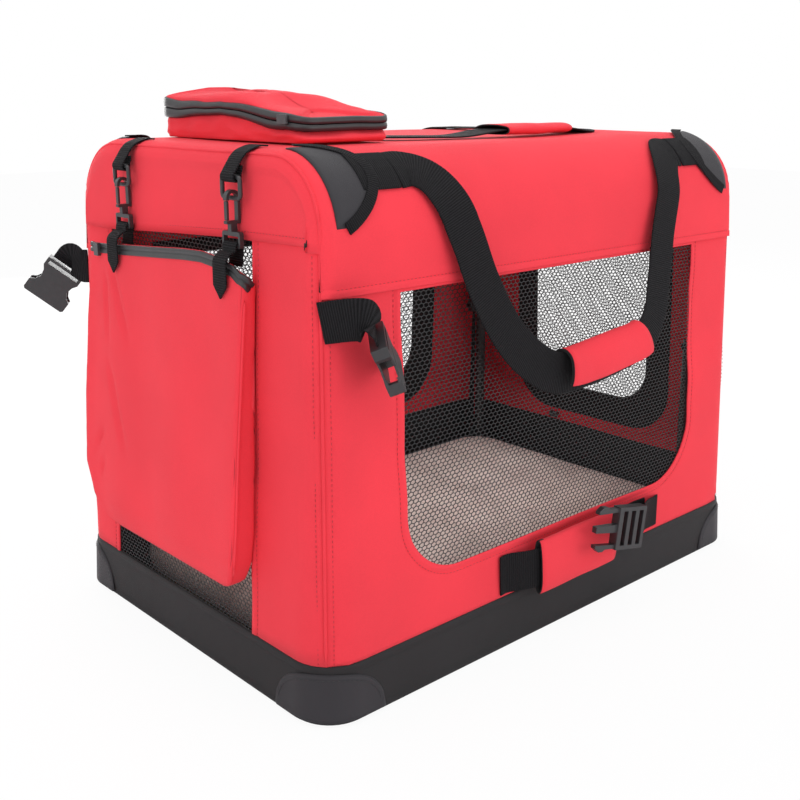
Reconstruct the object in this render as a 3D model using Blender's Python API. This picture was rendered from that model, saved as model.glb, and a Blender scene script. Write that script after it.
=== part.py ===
"""Folding soft pet carrier: a knee-jointed steel frame inside a fabric body on a stiff base tray.

Frame: +X runs along the long side, +Y to the back, +Z up. The origin is the middle of the underside.
The front is at -Y and the end that carries the hanging pocket is at -X.
"""
import math

import bmesh
import bpy
from mathutils import Matrix, Vector

# Fabric body
LENGTH = 0.600
WIDTH = 0.410
HEIGHT = 0.460
LEAN = 0.019
SHOULDER_RADIUS = 0.060
FABRIC = 0.0025
CORNER_RADIUS_LOW = 0.038
CORNER_RADIUS_HIGH = 0.014
SEAM_HALF_GAP = math.radians(2.6)
SKIN_GAP = 0.0003
SURFACE_GAP = 0.0010

# Base tray, board and mat
BAND_HEIGHT = 0.052
BAND_WALL = 0.004
TRAY_FLOOR = 0.005
TRAY_EDGE_ROUND = 0.003
BOARD_THICKNESS = 0.006
MAT_THICKNESS = 0.030
MAT_PAST_LEG = 0.002
MAT_CORNER = 0.030
PATCH_REACH = 0.046
PATCH_HEIGHT = 0.046
PATCH_THICKNESS = 0.0012

# Steel frame
TUBE_RADIUS = 0.0065
TUBE_WALL = 0.0012
LEG_END_INSET = 0.038
LEG_SIDE_INSET = 0.045
LEG_SIDE_GAP = 0.001
BASE_PIVOT_Z = 0.054
TOP_PIVOT_DROP = 0.064
LEG_END = 0.008
RIVET_RADIUS = 0.003
RIVET_CLEARANCE = 0.0003
RIVET_HEAD_RADIUS = 0.0052
RIVET_HEAD = 0.0012
RIVET_BITE = 0.0008
BRACKET_THICKNESS = 0.003
BRACKET_LENGTH = 0.024
BRACKET_TOP = 0.008
WELD_BITE = 0.0010
TUBE_SIDES = 10
PIN_SIDES = 8
RING_BEND = 0.034
HOOP_DROP = 0.0125
HOOP_BEND = 0.046
RAIL_SIDE_INSET = 0.105
RAIL_OVERHANG = 0.006

# Windows and doors
WINDOW_DROP = 0.111
WINDOW_SILL = 0.051
WINDOW_CORNER = 0.062
FRONT_WINDOW_MARGIN = 0.095
BACK_WINDOW_MARGIN = 0.095
END_WINDOW_MARGIN = 0.090
END_WINDOW_CORNER = 0.055
POCKET_WINDOW_CENTRE_Y = 0.0115
POCKET_WINDOW_MARGIN = 0.0895
POCKET_WINDOW_DROP = 0.072
DOOR_THICKNESS = 0.002
DOOR_GAP = 0.0006
DOOR_INSET = 0.0003
NET_OPENING = 0.028
NET_BAR = 0.006
NET_EDGE = 0.008
NET_EDGE_LEAST = 0.0035
SLIDER_WIDTH = 0.008
SLIDER_HEIGHT = 0.012
SLIDER_THICKNESS = 0.003
SLIDER_INSET = 0.006

# Webbing and handles
WEBBING = 0.0016
HANDLE_WIDTH = 0.038
HANDLE_STEPS = 2
BAND_TO_STRAP = 0.0022
BAND_ANGLE = math.radians(46)
BAND_END_INSET = 0.104
FRONT_HANDLE_DROP = 0.186
FRONT_HANDLE_STANDOFF = 0.021
SLEEVE_HALF_WIDTH = 0.023
SLEEVE_HALF_DEPTH = 0.0055
SLEEVE_WALL = 0.0016
CAP_WIDTH = 0.046
CAP_THICKNESS = 0.0012

# Side pocket and its hanging gear
LOOP_Y = 0.088
LOOP_WIDTH = 0.0185
LOOP_END_INSET = 0.048
RING_BAR_RADIUS = 0.002
RING_HALF_WIDTH = 0.0125
HANGER_STANDOFF = 0.0105
RING_DROP = 0.022
RING_HEIGHT = 0.0165
HOOK_THICKNESS = 0.005
HOOK_HALF_WIDTH = 0.0065
HOOK_WALL = 0.0026
HOOK_LOOP_LENGTH = 0.027
HOOK_DROP = 0.078
POCKET_DROP = 0.094
POCKET_RISE = 0.044
POCKET_FRONT_MARGIN = 0.093
POCKET_BACK_MARGIN = 0.063
POCKET_TOP_DEPTH = 0.014
POCKET_LOW_DEPTH = 0.024
POCKET_WALL_GAP = 0.0012
TAB_WIDTH = 0.019
POCKET_ZIP_START_Y = 0.118

# Roof pouch
POUCH_X = (-0.220, -0.118)
POUCH_Y = (-0.085, 0.137)
POUCH_BODY_HEIGHT = 0.020
POUCH_LID_HEIGHT = 0.0225
POUCH_CORNER = 0.014
POUCH_WALL = 0.002
LID_CLEARANCE = 0.0003

# Strap buckles and the base handle
BUCKLE_WIDTH = 0.046
BUCKLE_LENGTH = 0.042
BUCKLE_THICKNESS = 0.013
BUCKLE_WALL = 0.0018
STUB_WIDTH = 0.033
STUB_DROP = 0.126
BAR_GAP = 0.0012
BASE_HANDLE_X = (-0.093, 0.128)
BASE_HANDLE_RISE = 0.022
BASE_LEAD_IN = 0.012
BASE_LEAD_OUT = 0.028
BASE_STRAP_WIDTH = 0.038
BASE_SLEEVE_X = (-0.052, 0.060)
TAB_STEP = 0.004
MALE_X = 0.0655
MALE_STANDOFF = 0.0410
MALE_Z = 0.0918
MALE_BLOCK = 0.036
PRONG_LENGTH = 0.027

# Values that follow from the sizes above
LEG_X = LENGTH / 2 - LEG_END_INSET
LOWER_LEG_Y = WIDTH / 2 - LEG_SIDE_INSET
TOP_PIVOT_Z = HEIGHT - TOP_PIVOT_DROP
HOOP_TOP_Z = HEIGHT - HOOP_DROP
RAIL_Y = WIDTH / 2 - RAIL_SIDE_INSET
MAT_LENGTH = 2 * (LEG_X - MAT_PAST_LEG)
MAT_WIDTH = 2 * (LOWER_LEG_Y + MAT_PAST_LEG)
WINDOW_TOP = HEIGHT - WINDOW_DROP
WINDOW_BOTTOM = BAND_HEIGHT + WINDOW_SILL
FRONT_WINDOW_HALF = LENGTH / 2 - FRONT_WINDOW_MARGIN
BACK_WINDOW_HALF = LENGTH / 2 - BACK_WINDOW_MARGIN
END_WINDOW_HALF = WIDTH / 2 - END_WINDOW_MARGIN
POCKET_WINDOW_HALF = WIDTH / 2 - POCKET_WINDOW_MARGIN
POCKET_WINDOW_TOP = HEIGHT - POCKET_WINDOW_DROP
BAND_INNER_X = LENGTH / 2 - BAND_END_INSET
LOOP_ROOF_START = LENGTH / 2 - LOOP_END_INSET
HANGER_X = -(LENGTH / 2 - LEAN + HANGER_STANDOFF)
RING_TOP_Z = HEIGHT - RING_DROP
RING_LOW_Z = RING_TOP_Z - RING_HEIGHT
HOOK_BOTTOM_Z = HEIGHT - HOOK_DROP
POCKET_TOP_Z = HEIGHT - POCKET_DROP
POCKET_LOW_Z = BAND_HEIGHT + POCKET_RISE
POCKET_FRONT_Y = -(WIDTH / 2 - POCKET_FRONT_MARGIN)
POCKET_BACK_Y = WIDTH / 2 - POCKET_BACK_MARGIN
STUB_MID_Z = HEIGHT - STUB_DROP
BASE_HANDLE_Z = BAND_HEIGHT + BASE_HANDLE_RISE
LEG_SPAN = TOP_PIVOT_Z - BASE_PIVOT_Z
HALF_LEG = LEG_SPAN / 2
KNEE_Z = BASE_PIVOT_Z + HALF_LEG
UPPER_LEG_Y = LOWER_LEG_Y + 2 * TUBE_RADIUS + LEG_SIDE_GAP
BRACKET_Y = LOWER_LEG_Y + TUBE_RADIUS + SKIN_GAP
BRACKET_LOW = TRAY_FLOOR + SKIN_GAP
RING_Y = BRACKET_Y + BRACKET_THICKNESS + TUBE_RADIUS - WELD_BITE
RING_X = LENGTH / 2 - BAND_WALL - LEAN * BAND_HEIGHT / HEIGHT - TUBE_RADIUS - 4 * SKIN_GAP
RING_Z = TRAY_FLOOR + SKIN_GAP + TUBE_RADIUS
BOARD_Z = TRAY_FLOOR + SKIN_GAP
MAT_Z = BOARD_Z + BOARD_THICKNESS + SKIN_GAP
SHOULDER_Z = HEIGHT - SHOULDER_RADIUS
WALL_Z = (BAND_HEIGHT + SKIN_GAP, SHOULDER_Z - SKIN_GAP)
WALL_NORMAL = (0.0, -1.0, LEAN / HEIGHT)

RED = (0.86, 0.07, 0.10)
BLACK_CLOTH = (0.030, 0.028, 0.031)
BLACK_WEBBING = (0.018, 0.018, 0.020)
BLACK_NET = (0.020, 0.020, 0.022)
GREY_PLASTIC = (0.045, 0.045, 0.048)
STEEL = (0.56, 0.57, 0.58)
PLUSH = (0.62, 0.52, 0.42)
BOARD = (0.35, 0.25, 0.16)


def clear_scene():
    for obj in list(bpy.data.objects):
        bpy.data.objects.remove(obj, do_unlink=True)


def paint(obj, colour, roughness, metallic=0.0):
    """Gives the object a Principled BSDF of its own."""
    material = bpy.data.materials.new(obj.name + "_finish")
    material.use_nodes = True
    shader = material.node_tree.nodes["Principled BSDF"]
    shader.inputs["Base Color"].default_value = (*colour, 1.0)
    shader.inputs["Roughness"].default_value = roughness
    shader.inputs["Metallic"].default_value = metallic
    obj.data.materials.clear()
    obj.data.materials.append(material)


def islands(bm):
    """The bmesh's separate surfaces, each as a list of faces."""
    left = set(bm.faces)
    while left:
        island = [left.pop()]
        for face in island:
            for edge in face.edges:
                for other in edge.link_faces:
                    if other in left:
                        left.discard(other)
                        island.append(other)
        yield island


def face_outwards(bm):
    bmesh.ops.recalc_face_normals(bm, faces=bm.faces)
    bm.faces.ensure_lookup_table()
    for island in list(islands(bm)):
        middle = sum((face.calc_center_median() for face in island), Vector()) / len(island)
        outward = sum((face.calc_center_median() - middle).dot(face.normal) * face.calc_area()
                      for face in island)
        if outward < 0:
            bmesh.ops.reverse_faces(bm, faces=island)


def finish_object(name, bm, pivot=(0, 0, 0), smooth=True):
    """Turns a bmesh in world coordinates into an object whose origin is at the pivot."""
    face_outwards(bm)
    bm.transform(Matrix.Translation(-Vector(pivot)))
    mesh = bpy.data.meshes.new(name)
    bm.to_mesh(mesh)
    bm.free()
    if smooth:
        mesh.shade_smooth()
        mesh.set_sharp_from_angle(angle=math.radians(35))
    obj = bpy.data.objects.new(name, mesh)
    obj.location = pivot
    bpy.context.collection.objects.link(obj)
    return obj


def cutter(name, bm):
    """A hidden shape that only cuts others."""
    obj = finish_object(name, bm, smooth=False)
    obj.hide_render = True
    obj.display_type = 'WIRE'
    return obj


def combine(obj, tool, operation):
    boolean = obj.modifiers.new(operation.lower(), 'BOOLEAN')
    boolean.operation = operation
    boolean.object = tool
    boolean.solver = 'EXACT'


def cut(obj, bm, label):
    combine(obj, cutter(obj.name + "_" + label, bm), 'DIFFERENCE')


def join(obj, bm, label):
    combine(obj, cutter(obj.name + "_" + label, bm), 'UNION')


def thicken(obj, thickness, offset=-1.0):
    solidify = obj.modifiers.new("thickness", 'SOLIDIFY')
    solidify.thickness = thickness
    solidify.offset = offset
    solidify.use_even_offset = True
    solidify.use_rim = True


def skin(bm, rings, wrap):
    """Joins closed rings of equal count by quads, ring k's point i to ring k + 1's point i."""
    made = [[bm.verts.new(point) for point in ring] for ring in rings]
    for index in range(0 if wrap else 1, len(made)):
        lower = made[index - 1]
        upper = made[index]
        for i in range(len(upper)):
            bm.faces.new((lower[i - 1], lower[i], upper[i], upper[i - 1]))
    return made


def loft(bm, rings, close_ends=True):
    """A skin along the rings, closed by a flat face at each end."""
    made = skin(bm, rings, wrap=False)
    if close_ends:
        bm.faces.new(made[0])
        bm.faces.new(made[-1])


def closed_loft(bm, rings):
    """A skin that ends where it began, as a torus or a shell's outside and inside."""
    skin(bm, rings, wrap=True)


def arc_points(centre, radius, start, end, steps):
    """Points of an arc in a plane, angles in radians."""
    return [(centre[0] + radius * math.cos(start + (end - start) * k / steps),
             centre[1] + radius * math.sin(start + (end - start) * k / steps))
            for k in range(steps + 1)]


def rounded_rectangle(half_x, half_y, radius, steps=5, centre=(0.0, 0.0)):
    points = []
    for quadrant, (sx, sy) in enumerate(((1, 1), (-1, 1), (-1, -1), (1, -1))):
        middle = (centre[0] + sx * (half_x - radius), centre[1] + sy * (half_y - radius))
        start = quadrant * math.pi / 2
        points += arc_points(middle, radius, start, start + math.pi / 2, steps)
    return points


def at_height(points, z):
    return [(x, y, z) for x, y in points]


def plate(bm, outline, thickness):
    """A flat outline of 3-D points, extruded along the vector thickness."""
    face = bm.faces.new([bm.verts.new(point) for point in outline])
    extruded = bmesh.ops.extrude_face_region(bm, geom=[face])
    moved = [item for item in extruded["geom"] if isinstance(item, bmesh.types.BMVert)]
    bmesh.ops.translate(bm, verts=moved, vec=Vector(thickness))


def box(bm, low, high):
    made = bmesh.ops.create_cube(bm, size=1.0)
    size = Vector(high) - Vector(low)
    middle = (Vector(high) + Vector(low)) / 2
    bmesh.ops.scale(bm, verts=made["verts"], vec=size)
    bmesh.ops.translate(bm, verts=made["verts"], vec=middle)


def rod(bm, start, end, radius, sides=12, closed=True):
    """A straight cylinder between two points."""
    start = Vector(start)
    end = Vector(end)
    along = end - start
    turn = Vector((0, 0, 1)).rotation_difference(along.normalized()).to_matrix().to_4x4()
    place = Matrix.Translation((start + end) / 2) @ turn
    bmesh.ops.create_cone(bm, cap_ends=closed, segments=sides, radius1=radius, radius2=radius,
                          depth=along.length, matrix=place)


def smooth_path(points, per_span=4):
    """A smooth curve through hand-chosen points."""
    points = [Vector(point) for point in points]
    ends = [2 * points[0] - points[1]] + points + [2 * points[-1] - points[-2]]
    curve = []
    for a, b, c, d in zip(ends, ends[1:], ends[2:], ends[3:]):
        for step in range(per_span):
            t = step / per_span
            curve.append(0.5 * (2 * b + (c - a) * t + (2 * a - 5 * b + 4 * c - d) * t * t
                                + (3 * b - a - 3 * c + d) * t ** 3))
    curve.append(points[-1])
    return curve


def tangents(path):
    last = len(path) - 1
    return [(path[min(i + 1, last)] - path[max(i - 1, 0)]).normalized() for i in range(last + 1)]


def ribbon(bm, path, width, thickness, facing):
    """A strap along a path: facing gives the strap's face normal at each point."""
    rings = []
    for point, along, normal in zip(path, tangents(path), facing):
        normal = Vector(normal)
        across = along.cross(normal).normalized()
        normal = across.cross(along).normalized()
        a = across * width / 2
        n = normal * thickness / 2
        rings.append([point - a - n, point + a - n, point + a + n, point - a + n])
    loft(bm, rings)


def half_length(z):
    return LENGTH / 2 - LEAN * z / HEIGHT


def half_width(z):
    return WIDTH / 2 - LEAN * z / HEIGHT


def corner_radius(z):
    share = (z - WALL_Z[0]) / (WALL_Z[1] - WALL_Z[0])
    return CORNER_RADIUS_LOW + (CORNER_RADIUS_HIGH - CORNER_RADIUS_LOW) * share


SIDES = {
    "front": (Vector((1, 0, 0)), Vector((0, -1, 0))),
    "right": (Vector((0, 1, 0)), Vector((1, 0, 0))),
    "back": (Vector((-1, 0, 0)), Vector((0, 1, 0))),
    "left": (Vector((0, -1, 0)), Vector((-1, 0, 0))),
}


def wall_reach(side, z):
    """How far the wall's middle stands from the body's axis."""
    return half_width(z) if side in ("front", "back") else half_length(z)


def on_wall(side, x_or_y, z, out=0.0):
    """A point on a wall's outer face, given its world x (front, back) or y (ends)."""
    reach = wall_reach(side, z) + out
    if side in ("front", "back"):
        return Vector((x_or_y, reach * SIDES[side][1].y, z))
    return Vector((reach * SIDES[side][1].x, x_or_y, z))


def shoulder_point(x, angle, side_sign, out=0.0):
    """A point on the rounded top edge: angle 0 is the wall, 90 degrees is the roof."""
    z = SHOULDER_Z + (SHOULDER_RADIUS + out) * math.sin(angle)
    base = half_width(SHOULDER_Z + SHOULDER_RADIUS * math.sin(angle))
    y = base - SHOULDER_RADIUS + (SHOULDER_RADIUS + out) * math.cos(angle)
    return Vector((x, side_sign * y, z))


# Base

def make_tray():
    top = rounded_rectangle(half_length(BAND_HEIGHT), half_width(BAND_HEIGHT), CORNER_RADIUS_LOW)
    low_outline = rounded_rectangle(LENGTH / 2, WIDTH / 2, CORNER_RADIUS_LOW)
    foot = rounded_rectangle(LENGTH / 2 - TRAY_EDGE_ROUND, WIDTH / 2 - TRAY_EDGE_ROUND,
                             CORNER_RADIUS_LOW - TRAY_EDGE_ROUND)
    inner_top = rounded_rectangle(half_length(BAND_HEIGHT) - BAND_WALL,
                                  half_width(BAND_HEIGHT) - BAND_WALL, CORNER_RADIUS_LOW - BAND_WALL)
    inner_low = rounded_rectangle(half_length(BAND_HEIGHT) - BAND_WALL,
                                  half_width(BAND_HEIGHT) - BAND_WALL, CORNER_RADIUS_LOW - BAND_WALL)
    bm = bmesh.new()
    loft(bm, [at_height(foot, 0.0), at_height(low_outline, TRAY_EDGE_ROUND),
              at_height(top, BAND_HEIGHT), at_height(inner_top, BAND_HEIGHT),
              at_height(inner_low, TRAY_FLOOR)])
    obj = finish_object("base_tray", bm)
    join(obj, corner_patches(), "patches")
    paint(obj, BLACK_CLOTH, 0.75)


def make_board():
    bm = bmesh.new()
    outline = rounded_rectangle(MAT_LENGTH / 2, MAT_WIDTH / 2, MAT_CORNER, 4)
    loft(bm, [at_height(outline, BOARD_Z), at_height(outline, BOARD_Z + BOARD_THICKNESS)])
    paint(finish_object("floor_board", bm), BOARD, 0.8)


def make_mat():
    """The plush mat: fullest at mid height, crowned on top, its sides drawn in between corners."""
    thick = MAT_THICKNESS
    profile = ((0.40 * thick, 0.0), (0.10 * thick, 0.15), (0.0, 0.40), (0.13 * thick, 0.68),
               (0.60 * thick, 0.86), (0.185 * MAT_WIDTH, 0.97), (0.34 * MAT_WIDTH, 1.0))
    draw_in = 0.13 * thick
    bm = bmesh.new()
    rings = []
    for inset, share in profile:
        reach_y = MAT_WIDTH / 2 - inset
        outline = rounded_rectangle(MAT_LENGTH / 2 - inset, reach_y, min(MAT_CORNER, 0.6 * reach_y), 5)
        ring = []
        for x, y in with_side_points(outline, 5):
            bow_x = draw_in * max(0.0, 1 - (2 * y / MAT_WIDTH) ** 2) * (1 if abs(x) > abs(y) else 0)
            bow_y = draw_in * max(0.0, 1 - (2 * x / MAT_LENGTH) ** 2) * (1 if abs(y) > 0.3 * MAT_WIDTH else 0)
            ring.append((x - math.copysign(bow_x, x), y - math.copysign(bow_y, y),
                         MAT_Z + share * MAT_THICKNESS))
        rings.append(ring)
    loft(bm, rings)
    paint(finish_object("mat", bm), PLUSH, 0.95)


def with_side_points(outline, steps, pieces=6):
    """Adds points along the straight sides of a rounded rectangle, where it is to be bowed."""
    made = []
    for index, point in enumerate(outline):
        nxt = outline[(index + 1) % len(outline)]
        made.append(point)
        if (index + 1) % (steps + 1) == 0:
            made += [(point[0] + (nxt[0] - point[0]) * k / pieces,
                      point[1] + (nxt[1] - point[1]) * k / pieces) for k in range(1, pieces)]
    return made


def make_base_ring():
    outline = rounded_rectangle(RING_X, RING_Y, RING_BEND, 5)
    bm = bmesh.new()
    rings = []
    count = len(outline)
    for index, point in enumerate(outline):
        before = Vector(outline[index - 1])
        after = Vector(outline[(index + 1) % count])
        along = (after - before).normalized()
        across = Vector((along.y, -along.x))
        rings.append([(point[0] + across.x * TUBE_RADIUS * math.cos(a),
                       point[1] + across.y * TUBE_RADIUS * math.cos(a),
                       RING_Z + TUBE_RADIUS * math.sin(a))
                      for a in (2 * math.pi * k / TUBE_SIDES for k in range(TUBE_SIDES))])
    closed_loft(bm, rings)
    obj = finish_object("base_ring", bm)
    join(obj, leg_brackets(), "brackets")
    pins = bmesh.new()
    for sx in (-1, 1):
        for sy in (-1, 1):
            pin(pins, sx * LEG_X, BASE_PIVOT_Z, sy, LOWER_LEG_Y - TUBE_RADIUS - RIVET_CLEARANCE,
                BRACKET_Y + BRACKET_THICKNESS - RIVET_BITE)
    join(obj, pins, "pins")
    paint(obj, STEEL, 0.35, 1.0)


def leg_brackets():
    """Four plates welded to the base ring, each holding one lower leg."""
    bm = bmesh.new()
    top = BASE_PIVOT_Z + BRACKET_TOP
    for sx in (-1, 1):
        for sy in (-1, 1):
            y0 = sy * BRACKET_Y
            outline = [(sx * LEG_X - BRACKET_LENGTH / 2, y0, BRACKET_LOW),
                       (sx * LEG_X + BRACKET_LENGTH / 2, y0, BRACKET_LOW)]
            middle = (sx * LEG_X, top - BRACKET_LENGTH / 2)
            outline += [(x, y0, z) for x, z in arc_points(middle, BRACKET_LENGTH / 2, 0, math.pi, 8)]
            plate(bm, outline, (0, sy * BRACKET_THICKNESS, 0))
    return bm


def pin(bm, x, z, sy, y_in, y_out):
    """A rivet along Y whose two heads start at y_in and y_out."""
    profile = ((RIVET_HEAD_RADIUS, y_in - RIVET_HEAD), (RIVET_HEAD_RADIUS, y_in),
               (RIVET_RADIUS, y_in), (RIVET_RADIUS, y_out),
               (RIVET_HEAD_RADIUS, y_out), (RIVET_HEAD_RADIUS, y_out + RIVET_HEAD))
    loft(bm, [[(x + radius * math.cos(a), sy * y, z + radius * math.sin(a))
               for a in (2 * math.pi * k / PIN_SIDES for k in range(PIN_SIDES))] for radius, y in profile])


def corner_patches():
    """Four stitched patches that hug the tray's corners, their inner faces sunk in its wall."""
    bm = bmesh.new()
    low = TRAY_EDGE_ROUND + 0.001
    inner = -BAND_WALL / 2
    for sx in (-1, 1):
        for sy in (-1, 1):
            columns = []
            steps = 6
            for k in range(-3, steps + 4):
                if k < 0:
                    along = -k / 3 * (PATCH_REACH - CORNER_RADIUS_LOW * 0.5)
                    angle = 0.0
                elif k > steps:
                    along = -(k - steps) / 3 * (PATCH_REACH - CORNER_RADIUS_LOW * 0.5)
                    angle = math.pi / 2
                else:
                    along = 0.0
                    angle = math.pi / 2 * k / steps
                fall = abs(along) / PATCH_REACH
                top = low + (PATCH_HEIGHT - low) * math.sqrt(max(0.0, 1 - fall * fall))
                columns.append((angle, along, top))
            strip = []
            for angle, along, top in columns:
                corner_points = []
                for out, is_top in ((inner, False), (inner, True),
                                    (PATCH_THICKNESS, True), (PATCH_THICKNESS, False)):
                    z = top if is_top else low
                    reach_x = half_length(z) - CORNER_RADIUS_LOW
                    reach_y = half_width(z) - CORNER_RADIUS_LOW
                    radius = CORNER_RADIUS_LOW + out
                    x = reach_x + radius * math.cos(angle) - (abs(along) if angle > 0.1 else 0.0)
                    y = reach_y + radius * math.sin(angle) - (abs(along) if angle < 0.1 else 0.0)
                    corner_points.append((sx * x, sy * y, z))
                strip.append(corner_points)
            loft(bm, strip)
    return bm


# Frame

def make_leg(name, x, sy, y, z_low, z_high, hole_z, pin_z, pin_in, pin_out):
    """A straight tube: a cross hole at its lower pivot and its own rivet at its upper one."""
    bm = bmesh.new()
    rod(bm, (x, sy * y, z_low - LEG_END), (x, sy * y, z_high + LEG_END), TUBE_RADIUS, TUBE_SIDES, closed=False)
    obj = finish_object(name, bm, (x, sy * y, z_low))
    thicken(obj, TUBE_WALL)
    rivet = bmesh.new()
    pin(rivet, x, pin_z, sy, pin_in, pin_out)
    join(obj, rivet, "rivet")
    hole = bmesh.new()
    rod(hole, (x, sy * y - 2 * TUBE_RADIUS, hole_z), (x, sy * y + 2 * TUBE_RADIUS, hole_z),
        RIVET_RADIUS + RIVET_CLEARANCE, PIN_SIDES)
    cut(obj, hole, "hole")
    paint(obj, STEEL, 0.35, 1.0)


def make_legs():
    inner = LOWER_LEG_Y - TUBE_RADIUS
    outer = UPPER_LEG_Y + TUBE_RADIUS
    for side, sx in (("left", -1), ("right", 1)):
        for end, sy in (("front", -1), ("back", 1)):
            make_leg(side + "_lower_leg_" + end, sx * LEG_X, sy, LOWER_LEG_Y, BASE_PIVOT_Z, KNEE_Z,
                     BASE_PIVOT_Z, KNEE_Z, inner + RIVET_BITE, outer + RIVET_CLEARANCE)
            make_leg(side + "_upper_leg_" + end, sx * LEG_X, sy, UPPER_LEG_Y, KNEE_Z, TOP_PIVOT_Z,
                     KNEE_Z, TOP_PIVOT_Z, inner - RIVET_CLEARANCE, outer - RIVET_BITE)


def make_hoops():
    """Two bent tubes across the top; their legs stand beside the upper legs at the top pivots."""
    for side, sx in (("left", -1), ("right", 1)):
        leg_y = LOWER_LEG_Y
        bend = HOOP_BEND
        profile = [(-leg_y, TOP_PIVOT_Z - LEG_END)]
        profile += arc_points((-(leg_y - bend), HOOP_TOP_Z - bend), bend, math.pi, math.pi / 2, 4)
        profile += arc_points((leg_y - bend, HOOP_TOP_Z - bend), bend, math.pi / 2, 0, 4)
        profile.append((leg_y, TOP_PIVOT_Z - LEG_END))
        path = [Vector((sx * LEG_X, y, z)) for y, z in profile]
        directions = tangents(path)
        directions[0] = Vector((0, 0, 1))
        directions[-1] = Vector((0, 0, -1))
        bm = bmesh.new()
        rings = []
        for point, along in zip(path, directions):
            across = along.cross(Vector((1, 0, 0))).normalized()
            rings.append([point + TUBE_RADIUS * (math.cos(a) * across + Vector((math.sin(a), 0, 0)))
                          for a in (2 * math.pi * k / TUBE_SIDES for k in range(TUBE_SIDES))])
        loft(bm, rings, close_ends=False)
        obj = finish_object(side + "_hoop", bm, (sx * LEG_X, 0, TOP_PIVOT_Z))
        thicken(obj, TUBE_WALL)
        holes = bmesh.new()
        rod(holes, (sx * LEG_X, -WIDTH, TOP_PIVOT_Z), (sx * LEG_X, WIDTH, TOP_PIVOT_Z),
            RIVET_RADIUS + RIVET_CLEARANCE, PIN_SIDES)
        cut(obj, holes, "holes")
        paint(obj, STEEL, 0.35, 1.0)


def make_rails():
    """Two long tubes that join the hoops, clamped just under them."""
    z = HOOP_TOP_Z - 2 * TUBE_RADIUS - SKIN_GAP
    reach = LEG_X + RAIL_OVERHANG
    for name, sy in (("front_rail", -1), ("back_rail", 1)):
        bm = bmesh.new()
        rod(bm, (-reach, sy * RAIL_Y, z), (reach, sy * RAIL_Y, z), TUBE_RADIUS, TUBE_SIDES, closed=False)
        obj = finish_object(name, bm, (0, sy * RAIL_Y, z))
        thicken(obj, TUBE_WALL)
        paint(obj, STEEL, 0.35, 1.0)


# Fabric walls, doors and windows

def wall_outline_point(side, z, angle, at_end):
    """A point of the rounded plan outline of one wall at height z; at_end is -1 or 1."""
    along, out = SIDES[side]
    radius = corner_radius(z)
    reach_out = wall_reach(side, z)
    reach_along = half_length(z) if side in ("front", "back") else half_width(z)
    return (out * (reach_out - radius + radius * math.cos(angle))
            + along * at_end * (reach_along - radius + radius * math.sin(angle))
            + Vector((0, 0, z)))


def make_wall(side, window):
    bm = bmesh.new()
    limit = math.pi / 4 - SEAM_HALF_GAP
    angles = [limit * k / 3 for k in range(3, -1, -1)]
    columns = [(-1, angle) for angle in angles] + [(1, angle) for angle in reversed(angles)]
    rows = []
    for z in WALL_Z:
        rows.append([bm.verts.new(wall_outline_point(side, z, angle, at_end)) for at_end, angle in columns])
    for index in range(len(columns) - 1):
        bm.faces.new((rows[0][index], rows[0][index + 1], rows[1][index + 1], rows[1][index]))
    obj = finish_object(side + "_wall", bm)
    if obj.data.polygons[3].normal.dot(SIDES[side][1]) < 0:
        obj.data.flip_normals()
    thicken(obj, FABRIC)
    tool = bmesh.new()
    out = SIDES[side][1]
    plate(tool, [on_wall(side, s, z, -0.05) for s, z in window], out * 0.1)
    cut(obj, tool, "window")
    paint(obj, RED, 0.7)


def window_u(half, bottom, top, corner, centre=0.0):
    """A window outline: straight top, vertical sides, rounded lower corners."""
    left = arc_points((centre - half + corner, bottom + corner), corner, math.pi, 1.5 * math.pi, 8)
    right = arc_points((centre + half - corner, bottom + corner), corner, 1.5 * math.pi, 2 * math.pi, 8)
    return [(centre - half, top)] + left + right + [(centre + half, top)]


def shrink(outline_maker, half, bottom, top, corner, gap):
    return outline_maker(half - gap, bottom + gap, top - gap, corner - gap)


WINDOWS = {
    "front": (FRONT_WINDOW_HALF, WINDOW_BOTTOM, WINDOW_TOP, WINDOW_CORNER),
    "back": (BACK_WINDOW_HALF, WINDOW_BOTTOM, WINDOW_TOP, WINDOW_CORNER),
    "right": (END_WINDOW_HALF, WINDOW_BOTTOM, WINDOW_TOP, END_WINDOW_CORNER),
}


def make_walls():
    for side, sizes in WINDOWS.items():
        make_wall(side, window_u(*sizes))
    low = WALL_Z[0] - 0.01
    centre = POCKET_WINDOW_CENTRE_Y
    make_wall("left", [(centre - POCKET_WINDOW_HALF, low), (centre + POCKET_WINDOW_HALF, low),
                       (centre + POCKET_WINDOW_HALF, POCKET_WINDOW_TOP),
                       (centre - POCKET_WINDOW_HALF, POCKET_WINDOW_TOP)])


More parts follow.
